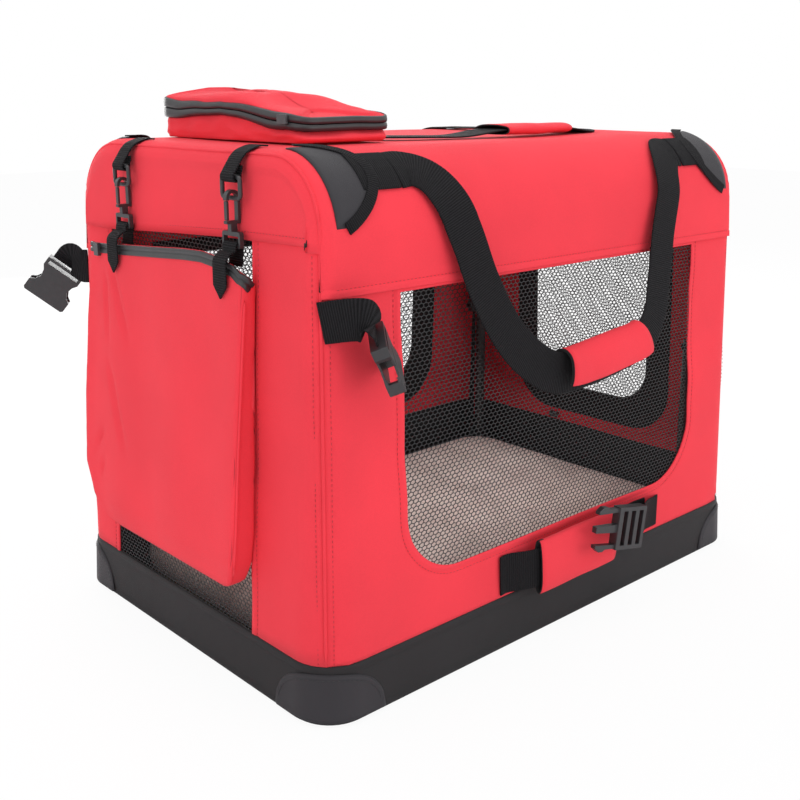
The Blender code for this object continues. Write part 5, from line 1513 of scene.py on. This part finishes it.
# %% [markdown]
# Two webbing loops come over the left edge of the roof. Each holds a ring, a snap hook and the
# pointed tab of the side pocket.

# %% Pocket loops and tabs
LOOP_Y = 0.088
HANGER_X = -(LENGTH / 2 - LEAN + 0.0105)
RING_TOP = HEIGHT - 0.022
HOOK_LOW = HEIGHT - 0.078
POCKET_TOP = HEIGHT - 0.094
EYE = 0.0038


def round_points(cx, cz, radius, start, end, steps):
    return arc(cx, cz, radius, math.radians(start), math.radians(end), steps)


def side_facing(path):
    return [Vector((0, 1, 0)).cross(tangent(path, k)) for k in range(len(path))]


edge_x = half_length(HEIGHT)
for end, sy in (("front", -1), ("back", 1)):
    roof_z = HEIGHT + 0.0012
    over = [(-edge_x + 0.020, roof_z), (-edge_x + 0.012, roof_z), (-edge_x + 0.001, roof_z - 0.0035),
            (-edge_x - 0.0050, roof_z - 0.0085)]
    over = flat_spline(over, 5)
    round_ring = round_points(HANGER_X, RING_TOP, EYE, 150, 385, 16)
    back_leg = [(HANGER_X + 0.0046, RING_TOP + 0.0050), (HANGER_X + 0.0052, RING_TOP + 0.0090)]
    path = [Vector((x, sy * LOOP_Y, z)) for x, z in over + round_ring + back_leg]
    strap("pocket_loop_webbing_" + end, path, side_facing(path), 0.0185, "top_frame",
          ["pocket_loop_" + end], 0.0013)
    eye_z = HOOK_LOW + 0.0014
    face_x = HANGER_X - 0.0110
    outer = [(face_x - 0.0030, POCKET_TOP - 0.024), (face_x - 0.0030, POCKET_TOP - 0.004),
             (face_x - 0.0024, POCKET_TOP + 0.0070), (HANGER_X - 0.0080, POCKET_TOP + 0.0125),
             (HANGER_X - 0.0042, eye_z - 0.004)]
    outer = flat_spline(outer, 6)
    loop = round_points(HANGER_X, eye_z, 0.0036, 180, 0, 10)
    inner = [(HANGER_X + 0.0030, eye_z - 0.004), (HANGER_X + 0.0018, POCKET_TOP + 0.0010)]
    path = [Vector((x, sy * LOOP_Y, z)) for x, z in outer + loop + inner][::-1]
    strap("pocket_tab_webbing_" + end, path, side_facing(path), 0.019, "side_pocket", ["pocket_tab_" + end],
          0.0013, point_tip=0.010)
print("loops and tabs ready")

# %% [markdown]
# The side pocket is a flat bag that hangs from the rings. Its face sags and creases. Its top edge
# rises a little towards the front and falls at its end. A coated zip runs along that edge and
# round the corner.

# %% Side pocket
POCKET_LOW = BAND + 0.044
POCKET_TALL = POCKET_TOP - POCKET_LOW
POCKET_Y = (-(WIDTH / 2 - 0.093), WIDTH / 2 - 0.063)
POCKET_TOP_DEPTH = 0.014
POCKET_LOW_DEPTH = 0.024
POCKET_GAP = 0.0012
POCKET_LEVELS = ((1.0, 0.0, 0.0, 0.0), (0.96, 0.08, 0.0, 0.0), (0.75, 0.35, 0.0, 0.004),
                 (0.45, 0.75, 0.0, 0.006), (0.20, 1.0, 0.0, 0.004), (0.08, 0.92, 0.004, -0.010),
                 (0.02, 0.60, 0.012, -0.028), (0.0, 0.30, 0.020, -0.042))


def pocket_level(height):
    """Fullness and the two ends of the pocket at a share of its height."""
    for upper, lower in zip(POCKET_LEVELS, POCKET_LEVELS[1:]):
        if height >= lower[0]:
            share = (height - lower[0]) / (upper[0] - lower[0])
            mixed = [low + (high - low) * share for high, low in zip(upper, lower)]
            depth = POCKET_TOP_DEPTH + (POCKET_LOW_DEPTH - POCKET_TOP_DEPTH) * mixed[1]
            return depth, POCKET_Y[0] + mixed[2], POCKET_Y[1] + mixed[3]
    return pocket_level(0.0)


def band_share(z, low, low_fade, high, high_fade):
    """1 between two heights, fading out past both."""
    return smoothstep((high - z) / high_fade) * smoothstep((z - low) / low_fade)


def crease(distance, width):
    """The depth of a crease at a distance from its line, as a share."""
    return math.exp(-(distance / width) ** 2)


def pocket_crease(y, z):
    """Soft folds of the face: long upright ones, and short slanting ones low at the back."""
    share = (POCKET_TOP - z) / POCKET_TALL
    long_folds = 0.0016 * math.sin(y * 62 + 1.9 + 1.3 * share) * smoothstep(share * 3) * (1 - 0.4 * share)
    fold_a = y - (0.112 - 0.42 * (0.255 - z)) + 0.012
    slanting = -0.0026 * crease(fold_a, 0.0045) * band_share(z, 0.165, 0.03, 0.268, 0.03)
    fold_b = (y - 0.116) * 0.8 + (z - 0.180) * 0.6
    along_b = (y - 0.116) * 0.6 - (z - 0.180) * 0.8
    short = -0.0030 * crease(fold_b, 0.003) * crease(along_b, 0.013)
    fold_c = (y - 0.112) * 0.85 + (z - 0.152) * 0.5
    along_c = (y - 0.112) * 0.5 - (z - 0.152) * 0.85
    short -= 0.0026 * crease(fold_c, 0.0028) * crease(along_c, 0.010)
    fold_d = (y - 0.092) - 0.55 * (z - 0.330)
    hanging = -0.0030 * crease(fold_d, 0.0040) * band_share(z, 0.270, 0.03, 0.352, 0.02)
    fold_e = (y - 0.108) - 0.16 * (z - 0.320)
    hanging -= 0.0024 * crease(fold_e, 0.0035) * band_share(z, 0.262, 0.04, 0.345, 0.02)
    return long_folds + slanting + short + hanging + 0.0012 * noise.noise(Vector((y * 22, z * 14, 3.7)))


POCKET_RISE = ((-0.1120, -0.0030), (-0.1000, 0.0040), (-0.0800, 0.0085), (-0.0550, 0.0110), (-0.0270, 0.0100),
               (0.0200, 0.0066), (0.0850, 0.0020), (0.1200, 0.0))


def pocket_dip(y, share):
    """The top edge rises a little towards the front, and falls at its end."""
    return -between(POCKET_RISE, y) * smoothstep((share - 0.72) / 0.28)


def rounding(radius, edge):
    """How far a rounded edge falls back, at a distance from the edge."""
    return 0.8 * (radius - math.sqrt(max(0.0, radius ** 2 - (radius - edge) ** 2)))


def pocket_point(share, around):
    """A point on the pocket's skin: share of its height, and a share of the way round it."""
    depth, front, back = pocket_level(share)
    z = POCKET_LOW + POCKET_TALL * share
    inner_x = -(half_length(z) + POCKET_GAP)
    radius = min(0.0045, depth / 2.4)
    wide = back - front
    run = 2 * (wide + depth)
    place = (around % 1.0) * run
    if place < wide:
        y, n, side = front + place, 1.0, "face"
    elif place < wide + depth:
        y, n, side = back, 1 - (place - wide) / depth, "back"
    elif place < 2 * wide + depth:
        y, n, side = back - (place - wide - depth), 0.0, "wall"
    else:
        y, n, side = front, (place - 2 * wide - depth) / depth, "front"
    edge = min(y - front, back - y)
    n_edge = min(n, 1 - n) * depth
    x = inner_x - depth * n
    if side in ("face", "wall") and edge < radius:
        x += rounding(radius, edge) * (1 if side == "face" else -1)
    if side in ("front", "back") and n_edge < radius:
        y += rounding(radius, n_edge) * (1 if side == "front" else -1)
    if side == "face":
        fade = smoothstep(edge / 0.02) * smoothstep((1 - share) / 0.06) * smoothstep(share / 0.05)
        x -= pocket_crease(y, z) * fade
    if side == "front":
        y -= 0.0012 * noise.noise(Vector((z * 30, 1.1, 6.2)))
    z -= 0.011 * (1 - n) * smoothstep((share - 0.9) / 0.1)
    return Vector((x, y, z - pocket_dip(y, share)))


def pocket_sides():
    """Shares of the way round, finer at the four corners."""
    depth, front, back = pocket_level(0.5)
    wide = back - front
    run = 2 * (wide + depth)
    marks = []
    for start, length, pieces in ((0, wide, 80), (wide, depth, 8), (wide + depth, wide, 20),
                                  (2 * wide + depth, depth, 8)):
        for k in range(pieces):
            t = 0.5 - 0.5 * math.cos(math.pi * k / pieces)
            marks.append((start + length * t) / run)
    return marks + [1.0]


def make_pocket():
    sides = pocket_sides()
    levels = [k / 56 for k in range(57)]

    def place(u, v):
        around = sides[round(u * (len(sides) - 1))]
        share = levels[round(v * 56)]
        return pocket_point(share, around), (around * 0.55, share * POCKET_TALL)

    bm = close_skin(bent_grid(len(sides) - 1, len(levels) - 1, place))
    obj = place_piece("pocket_bag", bm, "side_pocket", [red_cloth], ["side_pocket"])
    return obj


def squash_pocket(obj):
    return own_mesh(obj)


pocket = make_pocket()
print("side pocket:", len(pocket.data.polygons), "faces")

# %% [markdown]
# The zip is a ribbon of coated tape with a groove down its middle. It follows the pocket's upper
# edge, a finger's width below it.

# %% Pocket zip


def groove_ribbon(path, normals, width, rise, groove):
    """A raised band with a groove along its middle and edges that sink into the cloth."""
    profile = [(-0.5, -0.6), (-0.47, 0.75), (-0.38, 1.0), (-0.12, 1.0), (-0.05, 1 - groove),
               (0.0, 1 - groove), (0.05, 1 - groove), (0.12, 1.0), (0.38, 1.0), (0.47, 0.75),
               (0.5, -0.6), (-0.5, -0.6)]
    run = lengths(path)
    last = len(path) - 1

    def place(u, v):
        k = round(v * last)
        a, n = profile[round(u * (len(profile) - 1))]
        across, normal = ribbon_axes(path, normals, k)
        return path[k] + across * a * width + normal * n * rise, (a * width, run[k])

    return close_skin(bent_grid(len(profile) - 1, last, place), len(profile) + 1)


zip_tape = plain_material("zip_tape", (0.020, 0.020, 0.022), 0.42, 900, 0.00012, (0.85, 1.2))
path, normals = [], []
for k in range(61):
    y = POCKET_Y[1] - 0.004 - (POCKET_Y[1] - POCKET_Y[0] - 0.008) * k / 60
    share = 1 - 0.0050 / POCKET_TALL
    around = (y - POCKET_Y[0]) / (2 * (POCKET_Y[1] - POCKET_Y[0] + pocket_level(share)[0]))
    point = pocket_point(share, around)
    path.append(Vector((point.x - 0.0002, y, point.z)))
    normals.append(Vector((-1, 0, 0.05)))
corner = path[-1]
ROUND_CORNER = (((0.0010, -0.0035, -0.0010), (-0.7, -0.7, 0)), ((0.0042, -0.0046, -0.0035), (-0.1, -1, 0)),
                ((0.0080, -0.0046, -0.0080), (0, -1, 0)))
for step, normal in ROUND_CORNER:
    path.append(corner + Vector(step))
    normals.append(Vector(normal))
zip_band = place_piece("pocket_zip", groove_ribbon(path, normals, 0.0095, 0.0011, 0.9), "side_pocket",
                       [zip_tape])
welt_path = [pocket_point(0.06 + 0.86 * k / 49, 0.0) + Vector((-0.0006, -0.0009, 0)) for k in range(50)]
pocket_welt = place_piece("pocket_welt", tube(welt_path, 0.0011), "side_pocket", [red_cloth])
for piece in (pocket, zip_band, pocket_welt):
    squash_pocket(piece)
print("pocket zip ready")

# %% [markdown]
# The pouch on the roof has a low skirt, a wavy black zip, and a puffy lid that is full at the
# back and slumps to the front. All three follow one outline and one height for the zip.

# %% Roof pouch
POUCH_X = (-0.220, -0.118)
POUCH_Y = (-0.085, 0.137)
POUCH_LOW = HEIGHT + 0.0008
POUCH_SIDES = 96


def rounded_plan(around, half, corner, inset, radius):
    """A point of a rounded rectangle and its outward direction, at a share of the way round.

    The share is counted on the outline without the inset, so that rings of one plan stay in step."""
    hx, hy = half[0] - inset, half[1] - inset
    straight = (2 * (half[0] - corner), 2 * (half[1] - corner))
    quarter = math.pi * corner / 2
    run = (around % 1.0) * (2 * sum(straight) + 4 * quarter)
    for k, (sx, sy) in enumerate(CORNERS):
        way = straight[1 - k % 2]
        if run < way:
            share = run / way * 2 - 1
            x, y = ((hx, share * (hy - radius)), (-share * (hx - radius), hy),
                    (-hx, -share * (hy - radius)), (share * (hx - radius), -hy))[k]
            return Vector((x, y)), Vector(((1, 0), (0, 1), (-1, 0), (0, -1))[k])
        run -= way
        if run < quarter:
            angle = math.pi / 2 * (k + run / quarter)
            direction = Vector((math.cos(angle), math.sin(angle)))
            return Vector((sx * (hx - radius), sy * (hy - radius))) + direction * radius, direction
        run -= quarter
    return rounded_plan(0.0, half, corner, inset, radius)


POUCH_HALF = ((POUCH_X[1] - POUCH_X[0]) / 2, (POUCH_Y[1] - POUCH_Y[0]) / 2)
POUCH_CENTRE = ((POUCH_X[0] + POUCH_X[1]) / 2, (POUCH_Y[0] + POUCH_Y[1]) / 2)
POUCH_CORNER = 0.014


def pouch_outline(around, inset=0.0):
    """A point of the pouch's rounded plan and its outward direction."""
    radius = max(0.002, POUCH_CORNER - inset)
    point, direction = rounded_plan(around, POUCH_HALF, POUCH_CORNER, inset, radius)
    return Vector(POUCH_CENTRE) + point, direction


ZIP_MIDDLE = ((0.0, 0.0150), (0.07, 0.0170), (0.30, 0.0225), (0.53, 0.0285), (0.65, 0.0265), (1.0, 0.0275))
ZIP_HALF = ((0.0, 0.0060), (0.05, 0.0068), (0.20, 0.0078), (0.50, 0.0058), (0.65, 0.0060), (1.0, 0.0100))
LID_TOP = ((0.0, 0.0200), (0.07, 0.0250), (0.25, 0.0330), (0.42, 0.0420), (0.55, 0.0435), (1.0, 0.0430))


def pouch_middle(z):
    return Vector((*POUCH_CENTRE, z))


def pouch_share(y):
    return (y - POUCH_Y[0]) / (POUCH_Y[1] - POUCH_Y[0])


def zip_height(x, y):
    """The zip's middle: low at the front, highest past the middle, and wavy."""
    wave = 0.0008 * math.sin(pouch_share(y) * 19 + 1.0) + 0.0008 * noise.noise(Vector((x * 40, y * 34, 2.2)))
    return POUCH_LOW + between(ZIP_MIDDLE, pouch_share(y)) + wave


def make_skirt():
    rows = 9

    def place(u, v):
        point, out = pouch_outline(u)
        top = zip_height(point.x, point.y) - between(ZIP_HALF, pouch_share(point.y)) + 0.001
        z = POUCH_LOW + (top - POUCH_LOW) * v
        front = 1 - smoothstep((point.y - POUCH_Y[0]) / 0.05)
        bulge = 0.0014 * math.sin(math.pi * v)
        bulge += 0.0020 * noise.noise(Vector((point.x * 45, point.y * 45, v * 2.5)))
        fold = 0.0035 * front * math.sin(v * 4.5) * max(0.0, -out.y)
        spot = point + out * (bulge * smoothstep(v * 4) - 0.0025 + fold)
        return Vector((spot.x, spot.y, z)), (u * 0.62, v * 0.02)

    bm = bent_grid(POUCH_SIDES, rows, place)
    face_out(bm, pouch_middle(POUCH_LOW))
    skirt = place_piece("pouch_skirt", bm, "top_frame", [red_cloth, lining_long],
                        ["roof_pouch"])
    thickness(skirt, CLOTH, 1)
    return cloth(skirt, (0.628, 0.016))


def lid_low(x, y):
    """The height of the lid's lower edge, hidden behind the upper tape."""
    return zip_height(x, y) + between(ZIP_HALF, pouch_share(y)) - 0.001


def lid_height(x, y):
    """The lid's top over its lower edge, full at the back."""
    share = pouch_share(y)
    low = lid_low(x, y)
    rolls = 0.0022 * noise.noise(Vector((x * 30, y * 22, 9.1)))
    return max(0.0015, POUCH_LOW + between(LID_TOP, share) - low) + rolls * smoothstep(share * 3) - 0.0010


def make_lid():
    rings = ((0.0, 0.0), (0.0012, 0.10), (0.0010, 0.30), (0.0026, 0.52), (0.0066, 0.72), (0.0130, 0.86),
             (0.0220, 0.94), (0.0330, 0.985), (0.0440, 1.0), (0.0505, 1.0))

    def place(u, v):
        inset, share = rings[round(v * (len(rings) - 1))]
        point = pouch_outline(u, inset)[0]
        low = lid_low(*pouch_outline(u)[0])
        wrinkle = 0.0012 * noise.noise(Vector((point.x * 60, point.y * 60, 1.7))) * math.sin(math.pi * share)
        return (Vector((point.x, point.y, low + lid_height(point.x, point.y) * share + wrinkle)),
                (u * 0.62, inset * 2))

    bm = bent_grid(POUCH_SIDES, len(rings) - 1, place, 0.0004)
    bmesh.ops.holes_fill(bm, edges=[e for e in bm.edges if e.is_boundary and e.calc_length() < 0.02
                                    and abs(e.verts[0].co.x - POUCH_CENTRE[0]) < 0.01], sides=0)
    face_out(bm, pouch_middle(HEIGHT))
    lid = place_piece("pouch_lid", bm, "roof_pouch_lid", [red_cloth, lining_long],
                      ["roof_pouch_lid"])
    thickness(lid, CLOTH, 1)
    return cloth(lid, (0.145, 0.265))


def make_pouch_zip():
    """Two black tapes: one on the lid, one on the skirt, that meet in the zip's groove."""
    for name, body, sign in (("pouch_zip_upper", "roof_pouch_lid", 1), ("pouch_zip_lower", "top_frame", -1)):
        levels = ((-0.0006, 0.0), (0.0014, 0.0004), (0.0018, 0.0022), (0.0014, 0.0044), (-0.0004, 0.0052))

        def place(u, v):
            out_step, z_step = levels[round(v * 4)]
            point, out = pouch_outline(u)
            spot = point + out * out_step
            tall = between(ZIP_HALF, pouch_share(point.y)) / 0.0052
            z = zip_height(point.x, point.y) + sign * z_step * tall
            return Vector((spot.x, spot.y, z)), (z_step, u * 0.62)

        bm = bent_grid(POUCH_SIDES, 4, place)
        face_out(bm, pouch_middle(POUCH_LOW + 0.015))
        thickness(place_piece(name, bm, body, [zip_tape]), 0.0008)


make_skirt()
make_lid()
make_pouch_zip()
print("roof pouch ready")

# %% [markdown]
# The mat is a quilted plush cushion: a rounded rectangle with a soft crown, fuller in the middle.

# %% Mat
MAT_LOW = 0.0116
MAT_THICK = 0.048
MAT_HALF = (0.260, 0.162)
MAT_CORNER = 0.030
MAT_SIDES = 168


def make_mat():
    profile = [(0.010, 0.0), (0.004, 0.08), (0.0008, 0.24), (0.0, 0.42), (0.0012, 0.60), (0.0050, 0.76),
               (0.0110, 0.86), (0.0200, 0.92), (0.0330, 0.955), (0.050, 0.975), (0.070, 0.985), (0.095, 0.99),
               (0.120, 0.995), (0.145, 1.0), (0.158, 1.0)]

    def place(u, v):
        inset, share = profile[round(v * (len(profile) - 1))]
        radius = min(MAT_CORNER, 0.6 * (MAT_HALF[1] - inset))
        point = rounded_plan(u, MAT_HALF, MAT_CORNER, inset, radius)[0]
        soft = 0.0018 * noise.noise(Vector((point.x * 14, point.y * 14, 0.4))) * share
        pucker = 0.0010 * math.sin(u * 2 * math.pi * 46) * math.sin(math.pi * min(1.0, share * 1.05))
        z = MAT_LOW + MAT_THICK * share - max(0.0, soft) * 1.5 - abs(pucker)
        return Vector((point.x, point.y, z)), (u * 1.6, inset)

    bm = close_skin(bent_grid(MAT_SIDES, len(profile) - 1, place))
    obj = place_piece("mat_plush", bm, "base", [plush], ["mat"])
    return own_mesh(subdivide(obj))


mat = make_mat()
print("mat:", len(mat.data.polygons), "faces")

# %% [markdown]
# The hard parts come from the frame as they are. A small bevel softens their moulded edges, and
# each gets its own finish.

# %% Hard parts
FINISHES = {
    "steel_tube": (coated_steel, ["base_ring", "left_hoop", "right_hoop", "front_rail", "back_rail"]
                   + [side + "_" + part + "_leg_" + end for side in ("left", "right")
                      for part in ("lower", "upper") for end in ("front", "back")]),
    "fibreboard": (fibreboard, ["floor_board"]),
    "buckle_plastic": (plastic, ["front_female_buckle", "back_female_buckle", "male_buckle",
                                 "pocket_ring_front", "pocket_ring_back", "snap_hook_front",
                                 "snap_hook_back", "hook_gate_front", "hook_gate_back"]),
}
SLIDERS = ["front_zip_slider", "back_zip_slider", "right_zip_slider", "pouch_zip_slider", "pocket_zip_slider"]
for finish, names in [*FINISHES.values(), (zip_metal, SLIDERS)]:
    for name in names:
        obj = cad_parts[name]
        obj.data.materials.clear()
        obj.data.materials.append(finish)
        weld = obj.modifiers.new("weld", "WELD")
        weld.merge_threshold = 0.00001
        edge = obj.modifiers.new("edges", "BEVEL")
        edge.width = 0.0004 if finish is plastic else 0.0003
        edge.segments = 2
        edge.limit_method = "ANGLE"
        edge.angle_limit = math.radians(40)
print("hard parts finished")

# %% [markdown]
# The carrier stands on a pale floor in even light. Soft lamps above and at both sides give the
# cloth its slow shading. The floor answers the camera with plain white, less its shadow.

# %% Studio
scene = bpy.context.scene
scene.view_settings.view_transform = "Standard"
world = bpy.data.worlds.new("studio")
scene.world = world
world.use_nodes = True
tree = world.node_tree
background = tree.nodes["Background"]
seen = node(tree, "ShaderNodeBackground", Color=(1, 1, 1, 1), Strength=1.0)
background.inputs["Color"].default_value = (0.98, 0.97, 1.0, 1)
background.inputs["Strength"].default_value = 0.84
path_kind = node(tree, "ShaderNodeLightPath")
either = math_node(tree, "MAXIMUM", math_node(tree, "MAXIMUM", path_kind.outputs["Is Camera Ray"],
                                              path_kind.outputs["Is Glossy Ray"]),
                   path_kind.outputs["Is Transmission Ray"])
blend_world = node(tree, "ShaderNodeMixShader")
tree.links.new(either, blend_world.inputs[0])
tree.links.new(background.outputs[0], blend_world.inputs[1])
tree.links.new(seen.outputs[0], blend_world.inputs[2])
tree.links.new(blend_world.outputs[0], tree.nodes["World Output"].inputs["Surface"])


def lamp(name, place, size, power, tint=(1, 1, 1)):
    data = bpy.data.lights.new(name, "AREA")
    data.shape = "RECTANGLE"
    data.size, data.size_y = size
    data.energy = power
    data.color = tint
    obj = bpy.data.objects.new(name, data)
    scene.collection.objects.link(obj)
    obj.location = place
    obj.rotation_mode = "QUATERNION"
    obj.rotation_quaternion = (INSIDE - Vector(place)).to_track_quat("-Z", "Y")
    return obj


lamp("overhead", (-0.1, -0.2, 1.9), (1.8, 1.8), 11)
lamp("left_side", (-1.9, -0.5, 0.8), (1.4, 1.2), 6)
lamp("front", (0.4, -2.0, 0.6), (1.8, 1.0), 9)
lamp("behind", (0.7, 1.9, 0.6), (2.2, 1.0), 34)
inside = lamp("inside", (0, 0, 0.125), (0.46, 0.28), 0.25)
inside.rotation_quaternion = (1, 0, 0, 0)
inside.visible_camera = False

floor_material, tree, shader = material("pale_floor", (0.86, 0.86, 0.86), 0.9)
glow = node(tree, "ShaderNodeEmission", Color=(1, 1, 1, 1), Strength=1.0)
share = node(tree, "ShaderNodeMixShader")
camera_ray = node(tree, "ShaderNodeLightPath")
tree.links.new(math_node(tree, "MULTIPLY", camera_ray.outputs["Is Camera Ray"], 0.93), share.inputs[0])
tree.links.new(shader.outputs[0], share.inputs[1])
tree.links.new(glow.outputs[0], share.inputs[2])
tree.links.new(share.outputs[0], tree.nodes["Material Output"].inputs["Surface"])
bm = bmesh.new()
bmesh.ops.create_grid(bm, x_segments=1, y_segments=1, size=6.0)
bmesh.ops.translate(bm, verts=bm.verts, vec=(0, 0, -0.0005))
mesh = bpy.data.meshes.new("floor")
bm.to_mesh(mesh)
bm.free()
floor = bpy.data.objects.new("floor", mesh)
mesh.materials.append(floor_material)
scene.collection.objects.link(floor)
print("studio ready")
